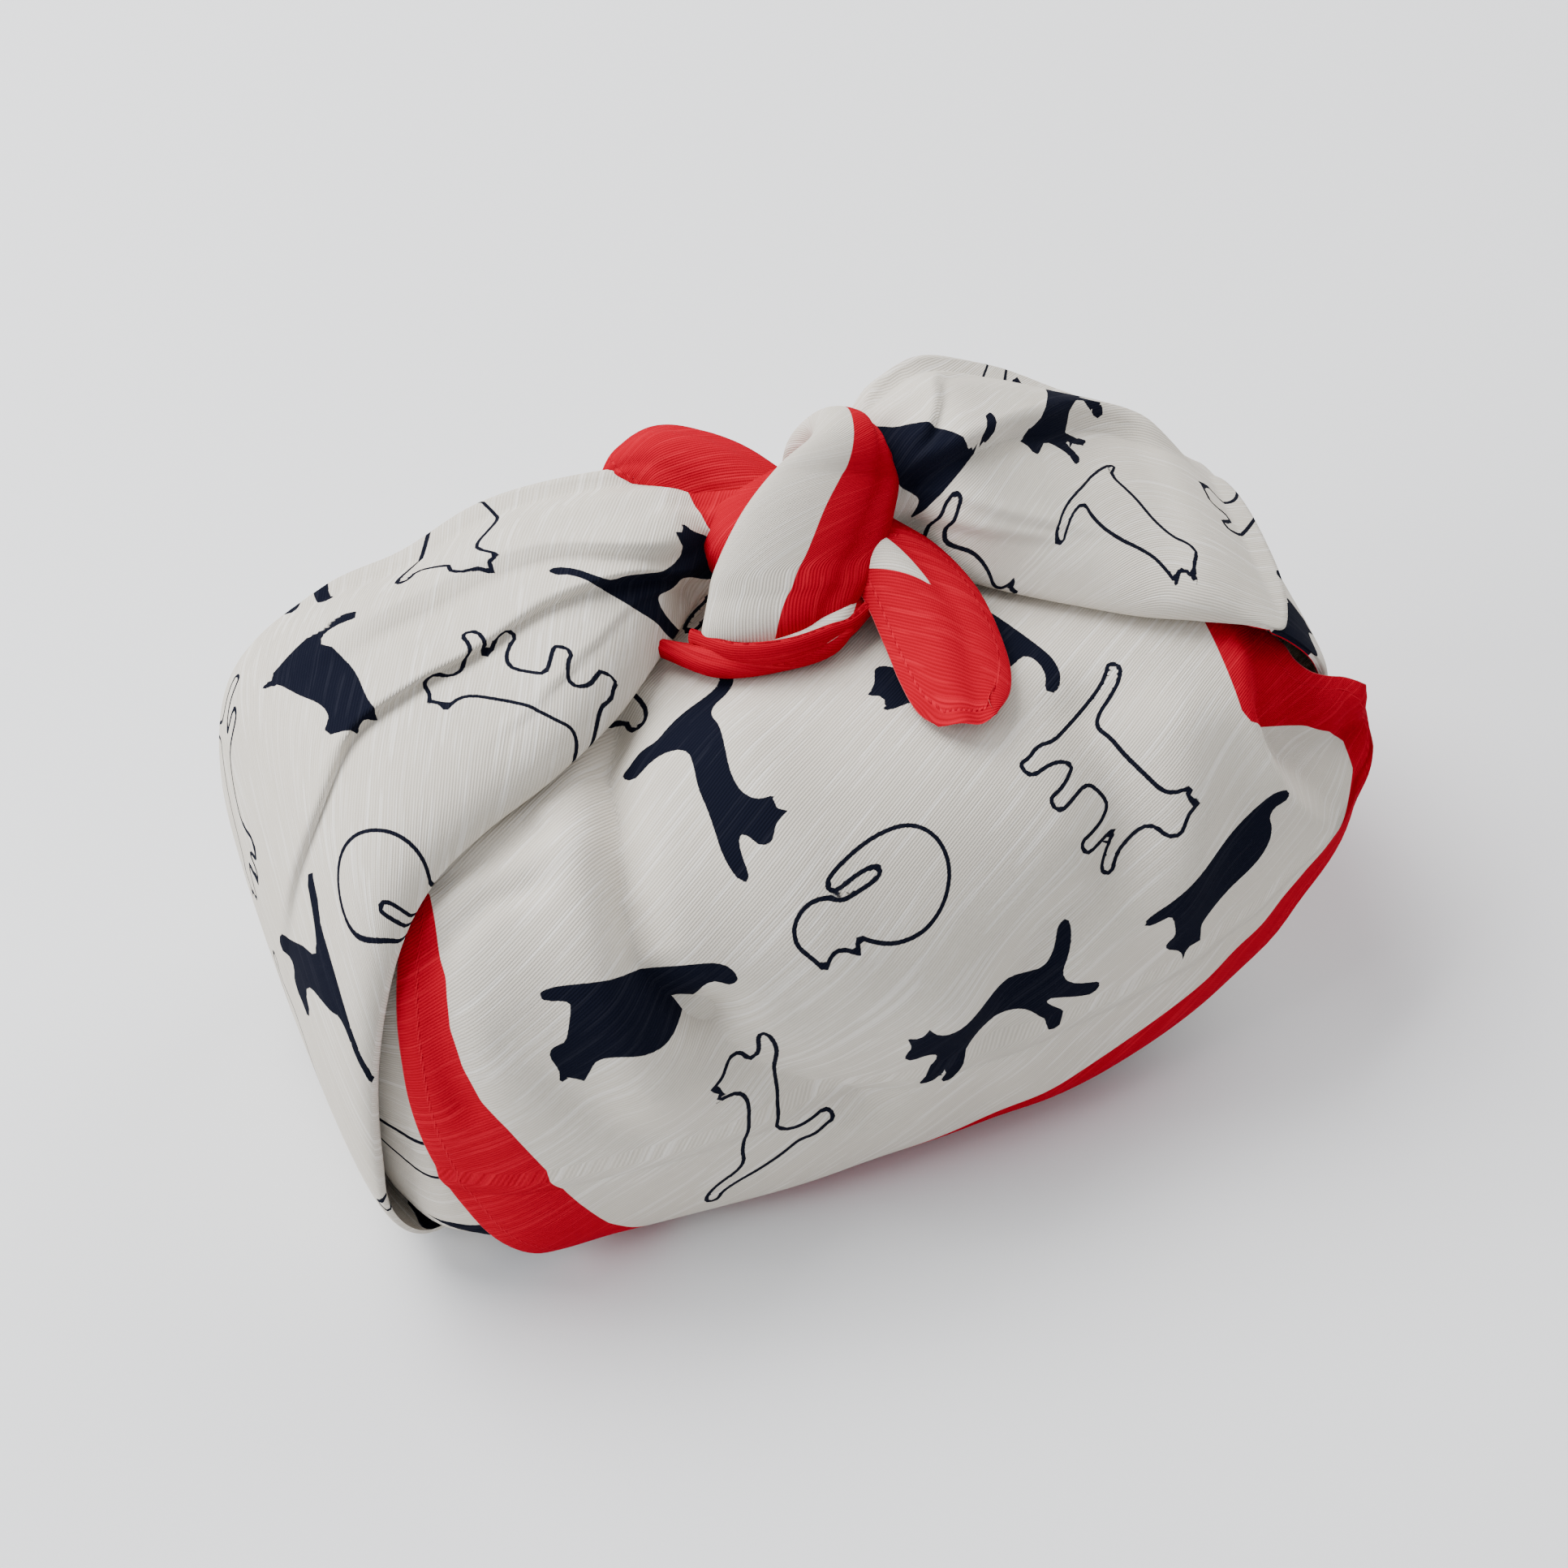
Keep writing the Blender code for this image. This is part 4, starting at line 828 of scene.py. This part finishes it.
@dataclass
class CatPrint:
    """Cats in a half-drop layout, solid and outlined by turns."""

    pitch: tuple = (66.0, 57.0)
    size: float = 0.80
    clamp: float = 6.0
    border_room: float = 22.0      # a drawing's middle stays this clear of the border
    reach: float = 44.0            # no drawing reaches further from its middle
    turns: tuple = (10, 100, 190, 280, 40)

    def distances(self, patch: Patch) -> dict:
        """Signed distance from every point of a patch to the nearest drawing's outline.

        Args:
            patch: the patch that is printed.

        Returns:
            A grid for each kind of ink, negative inside a drawing.
        """
        shape = patch.place.shape[:2]
        grids = {ink: np.full(shape, self.clamp) for ink in Ink}
        if not patch.printed:
            return grids
        c, s = np.cos(patch.turn), np.sin(patch.turn)
        u = patch.place[..., 0] * c + patch.place[..., 1] * s
        v = -patch.place[..., 0] * s + patch.place[..., 1] * c
        low = (int(u.min() // self.pitch[0]) - 1, int(v.min() // self.pitch[1]) - 1)
        high = (int(u.max() // self.pitch[0]) + 2, int(v.max() // self.pitch[1]) + 2)
        for i in range(low[0], high[0]):
            for j in range(low[1], high[1]):
                at = (patch.shift[0] + i * self.pitch[0],
                      patch.shift[1] + (j + 0.5 * (i % 2)) * self.pitch[1])
                drawing = DRAWINGS[(2 * i + j) % len(DRAWINGS)]
                ink = (Ink.SOLID, Ink.LINE)[(i + j) % 2]
                turn = np.radians(self.turns[(i + 2 * j) % len(self.turns)])
                self.stamp(grids[ink], patch, (u - at[0], v - at[1]), drawing, turn)
        return grids

    def stamp(self, grid: np.ndarray, patch: Patch, offset: tuple, drawing: Drawing,
              turn: float) -> None:
        """One drawing's distance written into a grid, if it is clear of the border."""
        du, dv = offset
        near = np.hypot(du, dv) < self.reach
        if not near.any():
            return
        closest = np.argmin(np.hypot(du, dv))
        if patch.red.ravel()[closest] > -self.border_room:
            return
        p = np.stack([du[near], dv[near]], -1)
        c, s = np.cos(turn), np.sin(turn)
        p = p @ np.array([[c, -s], [s, c]]) / self.size
        a = drawing.outline()
        b = np.roll(a, -1, 0)
        best = np.full(len(p), 1e9)
        inside = np.zeros(len(p), bool)
        for (ax, ay), (bx, by) in zip(a, b):
            dx, dy = bx - ax, by - ay
            t = np.clip(((p[:, 0] - ax) * dx + (p[:, 1] - ay) * dy) / (dx * dx + dy * dy), 0, 1)
            best = np.minimum(best, np.hypot(p[:, 0] - ax - t * dx, p[:, 1] - ay - t * dy))
            if ay != by:
                crosses = (ay > p[:, 1]) != (by > p[:, 1])
                inside ^= crosses & (p[:, 0] < dx * (p[:, 1] - ay) / dy + ax)
        signed = np.where(inside, -best, best) * self.size
        kept = grid[near]
        grid[near] = np.where(np.abs(signed) < np.abs(kept), signed,
                              np.where(inside, -self.clamp, kept))
        np.clip(grid, -self.clamp, self.clamp, out=grid)


def patch_object(patch: Patch, cat_print: CatPrint) -> bpy.types.Object:
    """A mesh object of one patch, with its attributes.

    Args:
        patch: the surface.
        cat_print: the print that falls on it.

    Returns:
        The object, linked to the scene.
    """
    rows, columns = patch.points.shape[:2]
    bm = bmesh.new()
    bmesh.ops.create_grid(bm, x_segments=columns - 1, y_segments=rows - 1, size=0.5)
    mesh = bpy.data.meshes.new(patch.name)
    bm.to_mesh(mesh)
    bm.free()
    flat = np.empty(len(mesh.vertices) * 3, np.float32)
    mesh.vertices.foreach_get("co", flat)
    flat = flat.reshape(-1, 3)
    column = np.rint((flat[:, 0] + 0.5) * (columns - 1)).astype(int)
    row = np.rint((flat[:, 1] + 0.5) * (rows - 1)).astype(int)
    points = (patch.points[row, column] - CENTRE) * MM
    mesh.vertices.foreach_set("co", points.astype(np.float32).ravel())
    inks = cat_print.distances(patch)
    values = {"red": patch.red, "edge": patch.edge, "run": patch.run, "wrong": patch.wrong,
              Ink.SOLID.value: inks[Ink.SOLID], Ink.LINE.value: inks[Ink.LINE]}
    for name, grid in values.items():
        layer = mesh.attributes.new(name, "FLOAT", "POINT")
        layer.data.foreach_set("value", grid[row, column].astype(np.float32))
    c, s = np.cos(patch.turn), np.sin(patch.turn)
    u = patch.place[..., 0] * c + patch.place[..., 1] * s
    v = -patch.place[..., 0] * s + patch.place[..., 1] * c
    weave = np.stack([u, v, 0 * u], -1)[row, column]
    layer = mesh.attributes.new("weave", "FLOAT_VECTOR", "POINT")
    layer.data.foreach_set("vector", weave.astype(np.float32).ravel())
    if patch.tube:
        bm = bmesh.new()
        bm.from_mesh(mesh)
        bmesh.ops.remove_doubles(bm, verts=bm.verts, dist=0.00001)
        bmesh.ops.holes_fill(bm, edges=bm.edges)
        bmesh.ops.recalc_face_normals(bm, faces=bm.faces)
        bm.to_mesh(mesh)
        bm.free()
    obj = bpy.data.objects.new(patch.name, mesh)
    bpy.context.scene.collection.objects.link(obj)
    return obj


def one_cloth(patches: list, name: str) -> bpy.types.Object:
    """All the patches joined into the one cloth.

    Args:
        patches: the surfaces.
        name: the piece's name.

    Returns:
        The cloth's object, at the origin.
    """
    cat_print = CatPrint()
    objects = [patch_object(patch, cat_print) for patch in patches]
    base = objects[0]
    with bpy.context.temp_override(active_object=base, object=base,
                                   selected_objects=objects,
                                   selected_editable_objects=objects):
        bpy.ops.object.join()
    base.name = name
    base.data.name = name
    base.data.shade_smooth()
    return base


class Graph:
    """A material's nodes, all made by one method."""

    def __init__(self, material: bpy.types.Material) -> None:
        """Start with an empty tree and its output."""
        material.use_nodes = True
        self.tree = material.node_tree
        self.tree.nodes.clear()
        self.output = self.node("ShaderNodeOutputMaterial")

    def node(self, kind: str, settings: dict = None, inputs: dict = None) -> bpy.types.Node:
        """Make a node.

        Args:
            kind: the node's type.
            settings: what is set on the node first.
            inputs: a value, signal or socket for each named input.

        Returns:
            The node.
        """
        made = self.tree.nodes.new(kind)
        for name, value in (settings or {}).items():
            setattr(made, name, value)
        for key, value in (inputs or {}).items():
            value = value.socket if isinstance(value, Signal) else value
            if isinstance(value, bpy.types.NodeSocket):
                self.tree.links.new(value, made.inputs[key])
            else:
                made.inputs[key].default_value = value
        return made

    def attribute(self, name: str) -> "Signal":
        """A number that the mesh carries."""
        return Signal(self, self.node("ShaderNodeAttribute",
                                      {"attribute_name": name}).outputs["Fac"])

    def mix(self, amount: "Signal", first: object, second: object) -> bpy.types.NodeSocket:
        """A colour between two colours."""
        return self.node("ShaderNodeMix", {"data_type": "RGBA"},
                         {0: amount, 6: first, 7: second}).outputs[2]


class Signal:
    """A number in a material, with the arithmetic that its shading needs."""

    def __init__(self, graph: Graph, socket: bpy.types.NodeSocket) -> None:
        """Wrap a socket."""
        self.graph, self.socket = graph, socket

    def maths(self, operation: str, *values: object) -> "Signal":
        """A Math node on this and other values."""
        made = self.graph.node("ShaderNodeMath", {"operation": operation},
                               dict(enumerate((self, *values))))
        return Signal(self.graph, made.outputs[0])

    def __add__(self, other: object) -> "Signal":
        """Sum."""
        return self.maths("ADD", other)

    __radd__ = __add__

    def __sub__(self, other: object) -> "Signal":
        """Difference."""
        return self.maths("SUBTRACT", other)

    def __rsub__(self, other: float) -> "Signal":
        """Difference from a number."""
        return (self * -1.0).maths("ADD", other)

    def __mul__(self, other: object) -> "Signal":
        """Product."""
        return self.maths("MULTIPLY", other)

    __rmul__ = __mul__

    def sine(self) -> "Signal":
        """Sine, in radians."""
        return self.maths("SINE")

    def size(self) -> "Signal":
        """Absolute value."""
        return self.maths("ABSOLUTE")

    def most(self, other: object) -> "Signal":
        """The larger of two."""
        return self.maths("MAXIMUM", other)

    def least(self, other: object) -> "Signal":
        """The smaller of two."""
        return self.maths("MINIMUM", other)

    def between(self, low: float, high: float) -> "Signal":
        """0 at low, 1 at high, smooth between."""
        made = self.graph.node("ShaderNodeMapRange", {"interpolation_type": "SMOOTHSTEP"},
                               {"Value": self, "From Min": low, "From Max": high,
                                "To Min": 0.0, "To Max": 1.0})
        return Signal(self.graph, made.outputs[0])


@dataclass(frozen=True)
class SlubCloth:
    """Warm off-white slub cotton with a red border and navy-black drawings."""

    cream: tuple = (0.72, 0.675, 0.60, 1.0)
    # the cream in painted shade, mixed in between the ribs; it also gives thin threads a random
    # darker tone
    cream_shade: tuple = (0.53, 0.485, 0.41, 1.0)
    slub: tuple = (0.84, 0.81, 0.76, 1.0)
    red: tuple = (0.48, 0.002, 0.020, 1.0)
    # the red in painted shade, mixed in between the ribs and for thin threads, like the cream
    # above
    red_shade: tuple = (0.33, 0.001, 0.010, 1.0)
    red_slub: tuple = (0.62, 0.010, 0.030, 1.0)
    ink: tuple = (0.005, 0.006, 0.013, 1.0)
    # the lighter ink of slub threads, also used as a painted highlight on the rib crests
    ink_slub_and_crest_highlight: tuple = (0.022, 0.023, 0.034, 1.0)
    rib_pitch: float = 0.80        # millimetres
    weft_pitch: float = 0.62
    slub_thread: tuple = (0.55, 30.0)    # a slub's width and length
    thick_thread: tuple = (0.9, 50.0)
    line_half: float = 0.62        # half the width of a drawn line
    seam_inset: float = 4.4        # how far the stitches lie from the hem's edge
    stitch_pitch: float = 3.1
    roughness: float = 0.92

    def noise(self, graph: Graph, scale: tuple, detail: float) -> Signal:
        """Noise on the weave's own coordinates, stretched along the threads."""
        place = graph.node("ShaderNodeAttribute", {"attribute_name": "weave"})
        stretched = graph.node("ShaderNodeVectorMath", {"operation": "MULTIPLY"},
                               {0: place.outputs["Vector"], 1: scale})
        made = graph.node("ShaderNodeTexNoise", {"noise_dimensions": "2D"},
                          {"Vector": stretched.outputs[0], "Scale": 1.0, "Detail": detail,
                           "Roughness": 0.6})
        return Signal(graph, made.outputs["Fac"])

    def streaks(self, graph: Graph, u: Signal, v: Signal, pitch: float,
                length: float) -> Signal:
        """Noise that runs along one thread at a time.

        Args:
            graph: the material's nodes.
            u: way along the threads.
            v: way across them.
            pitch: the threads' distance.
            length: about how long a slub is.

        Returns:
            A value from 0 to 1.
        """
        row = (v * (1 / pitch)).maths("FLOOR")
        place = graph.node("ShaderNodeCombineXYZ", None,
                           {0: u * (1 / length) + row * 7.31, 1: row * 3.77})
        made = graph.node("ShaderNodeTexNoise", {"noise_dimensions": "2D"},
                          {"Vector": place.outputs[0], "Scale": 1.0, "Detail": 0.0})
        return Signal(graph, made.outputs["Fac"])

    def material(self) -> bpy.types.Material:
        """The cloth's material."""
        material = bpy.data.materials.new("slub_cloth")
        graph = Graph(material)
        place = graph.node("ShaderNodeAttribute", {"attribute_name": "weave"})
        split = graph.node("ShaderNodeSeparateXYZ", None, {0: place.outputs["Vector"]})
        u, v = Signal(graph, split.outputs[0]), Signal(graph, split.outputs[1])
        wobble = self.noise(graph, (0.02, 0.05, 0.0), 1.0)
        rib = (v * (2 * np.pi / self.rib_pitch) + wobble * 3.0).sine() * 0.5 + 0.5
        weft = (u * (2 * np.pi / self.weft_pitch)).sine() * 0.5 + 0.5
        across = v + wobble * 0.5
        slub = self.streaks(graph, u, across, *self.slub_thread).between(0.64, 0.74)
        thick = self.streaks(graph, u, across + 3.3, *self.thick_thread).between(0.71, 0.78)
        thin = self.noise(graph, (0.05, 0.9, 0.0), 2.0)
        thread = (slub * 0.35).most(thick * 0.5)
        # painted shade: darker between the ribs, where the grooves would be in shade, plus a
        # random darker tone where threads are thin
        groove_shade_and_tone = ((1.0 - rib) * 0.62 + (1.0 - thin) * 0.45).least(1.0)
        red_in = graph.attribute("red").between(-0.12, 0.12)
        edge, run = graph.attribute("edge"), graph.attribute("run")
        wrong = graph.attribute("wrong")
        dash = (run * (2 * np.pi / self.stitch_pitch)).sine().between(-0.35, 0.1)
        seam = 1.0 - (edge - self.seam_inset).size().between(0.15, 0.55)
        stitch = seam * dash
        fray = self.noise(graph, (0.9, 0.9, 0.0), 2.0) * 0.24 - 0.12
        solid = 1.0 - (graph.attribute("ink_solid") + fray).between(-0.1, 0.1)
        line = 1.0 - (graph.attribute("ink_line").size() + fray).between(
            self.line_half - 0.1, self.line_half + 0.1)
        ink = solid.most(line) * (1.0 - red_in) * (1.0 - wrong * 0.75)
        # the painted shade between the ribs darkens the cream and the red here
        cream = graph.mix(thread, graph.mix(groove_shade_and_tone, self.cream, self.cream_shade), self.slub)
        red = graph.mix(thread * 0.8, graph.mix(groove_shade_and_tone, self.red, self.red_shade),
                        self.red_slub)
        red = graph.mix(stitch * 0.5, red, self.red_slub)
        # the ink is lighter along slub threads and, as a painted highlight, a little lighter on
        # the rib crests
        dark = graph.mix(thread * 0.5 + rib * 0.12, self.ink, self.ink_slub_and_crest_highlight)
        dyed = graph.mix(red_in, cream, red)
        faded = graph.mix(wrong * red_in * 0.18, dyed, self.cream)
        colour = graph.mix(ink, faded, dark)
        height = (rib * 0.35 + weft * 0.10 + thread * 0.55 + thin * 0.25
                  - seam * 0.9 + stitch * 1.1)
        relief = graph.node("ShaderNodeBump", None,
                            {"Strength": 0.80, "Distance": 0.00034, "Height": height})
        rough = thread * -0.08 + self.roughness
        shader = graph.node("ShaderNodeBsdfPrincipled", None, {
            "Base Color": colour, "Roughness": rough, "Normal": relief.outputs[0],
            "Sheen Weight": 0.0, "Sheen Roughness": 0.5, "Specular IOR Level": 0.02,
            "Subsurface Weight": 0.0})
        graph.tree.links.new(shader.outputs[0], graph.output.inputs[0])
        return material


@dataclass(frozen=True)
class PaleFloor:
    """Plain pale grey floor."""

    colour: tuple = (0.83, 0.835, 0.845, 1.0)
    pale: tuple = (0.88, 0.88, 0.88, 1.0)
    half_width: float = 6.0

    def build(self) -> bpy.types.Object:
        """The floor, with its material."""
        bm = bmesh.new()
        bmesh.ops.create_grid(bm, x_segments=8, y_segments=8, size=self.half_width)
        mesh = bpy.data.meshes.new("floor")
        bm.to_mesh(mesh)
        bm.free()
        floor = bpy.data.objects.new("floor", mesh)
        bpy.context.scene.collection.objects.link(floor)
        material = bpy.data.materials.new("pale_floor")
        graph = Graph(material)
        place = graph.node("ShaderNodeTexCoord")
        grain = graph.node("ShaderNodeTexNoise", None,
                           {"Vector": place.outputs["Object"], "Scale": 1.5, "Detail": 1.0})
        tone = Signal(graph, grain.outputs["Fac"])
        colour = graph.mix(tone * 0.04, self.colour, self.pale)
        shader = graph.node("ShaderNodeBsdfPrincipled", None, {
            "Base Color": colour, "Roughness": 0.65, "Specular IOR Level": 0.2})
        graph.tree.links.new(shader.outputs[0], graph.output.inputs[0])
        mesh.materials.append(material)
        return floor


@dataclass
class Studio:
    """Camera at the photograph's angle and soft light."""

    azimuth: float = -20.0
    elevation: float = 47.0
    focal_px: float = 4000.0
    frame_px: float = 1932.0
    distance: float = 0.975
    aim: tuple = (-0.0351, 0.0075, 0.0)     # a point on the floor
    aim_px: tuple = (857.0, 1212.0)         # where it lies in the picture
    sensor: float = 36.0
    lamps: tuple = (
        Lamp("key_light", (-0.9, 1.1, 2.0), 1.6, 94.0, (1.0, 1.0, 1.0)),
        Lamp("left_light", (-2.1, -0.1, 1.2), 1.2, 37.0, (0.97, 0.98, 1.0)),
        Lamp("right_light", (1.9, 1.0, 2.0), 1.8, 38.0, (1.0, 0.99, 0.97)))
    light_aim: tuple = (0.0, 0.0, 0.05)
    sky: tuple = (0.93, 0.95, 1.0, 1.0)
    sky_strength: float = 0.62

    def camera(self) -> bpy.types.Object:
        """The camera, made the scene's."""
        a, e = np.radians(self.azimuth), np.radians(self.elevation)
        back = np.array([np.sin(a) * np.cos(e), -np.cos(a) * np.cos(e), np.sin(e)])
        right = np.array([np.cos(a), np.sin(a), 0.0])
        up = np.cross(back, right)
        dx = (self.aim_px[0] - self.frame_px / 2) / self.focal_px * self.distance
        dy = (self.frame_px / 2 - self.aim_px[1]) / self.focal_px * self.distance
        place = np.array(self.aim) + back * self.distance - right * dx - up * dy
        lens = bpy.data.cameras.new("camera")
        lens.sensor_width = self.sensor
        lens.lens = self.focal_px / self.frame_px * self.sensor
        lens.clip_end = 50.0
        camera = bpy.data.objects.new("camera", lens)
        camera.matrix_world = Matrix((
            (right[0], up[0], back[0], place[0]), (right[1], up[1], back[1], place[1]),
            (right[2], up[2], back[2], place[2]), (0, 0, 0, 1)))
        bpy.context.scene.collection.objects.link(camera)
        bpy.context.scene.camera = camera
        return camera

    def light(self, spec: Lamp) -> bpy.types.Object:
        """A square soft light that faces the wrap."""
        lamp = bpy.data.lights.new(spec.name, "AREA")
        lamp.shape = "SQUARE"
        lamp.size, lamp.energy, lamp.color = spec.size, spec.power, spec.colour
        obj = bpy.data.objects.new(spec.name, lamp)
        obj.location = spec.place
        aim = Vector(self.light_aim) - Vector(spec.place)
        obj.rotation_euler = aim.to_track_quat("-Z", "Y").to_euler()
        bpy.context.scene.collection.objects.link(obj)
        return obj

    def build(self) -> None:
        """Camera, lights and surroundings."""
        self.camera()
        for spec in self.lamps:
            self.light(spec)
        world = bpy.context.scene.world or bpy.data.worlds.new("studio")
        bpy.context.scene.world = world
        world.use_nodes = True
        sky = world.node_tree.nodes.get("Background")
        sky.inputs[0].default_value = self.sky
        sky.inputs[1].default_value = self.sky_strength


def main() -> None:
    """Build the cloth and the studio."""
    logging.basicConfig(level=logging.INFO, format="%(name)s: %(message)s")
    load = Load()
    patches = [WoundStrip(load).patch(), left_arm(load).patch(), right_arm(load).patch()]
    patches += [KnotCore().patch()] + [strand.patch() for strand in knot_strands()]
    patches += [ForwardEnd().patch()] + CurledEnd().patches()
    cloth = one_cloth(patches, "printed_cloth")
    cloth.data.materials.append(SlubCloth().material())
    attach(cloth, "root")
    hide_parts("furoshiki_cloth")
    LOG.info("%s: %d triangles", cloth.name,
             sum(len(p.vertices) - 2 for p in cloth.data.polygons))
    floor = PaleFloor().build()
    LOG.info("%s built", floor.name)
    Studio().build()
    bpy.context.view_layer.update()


if __name__ == "__main__":
    main()
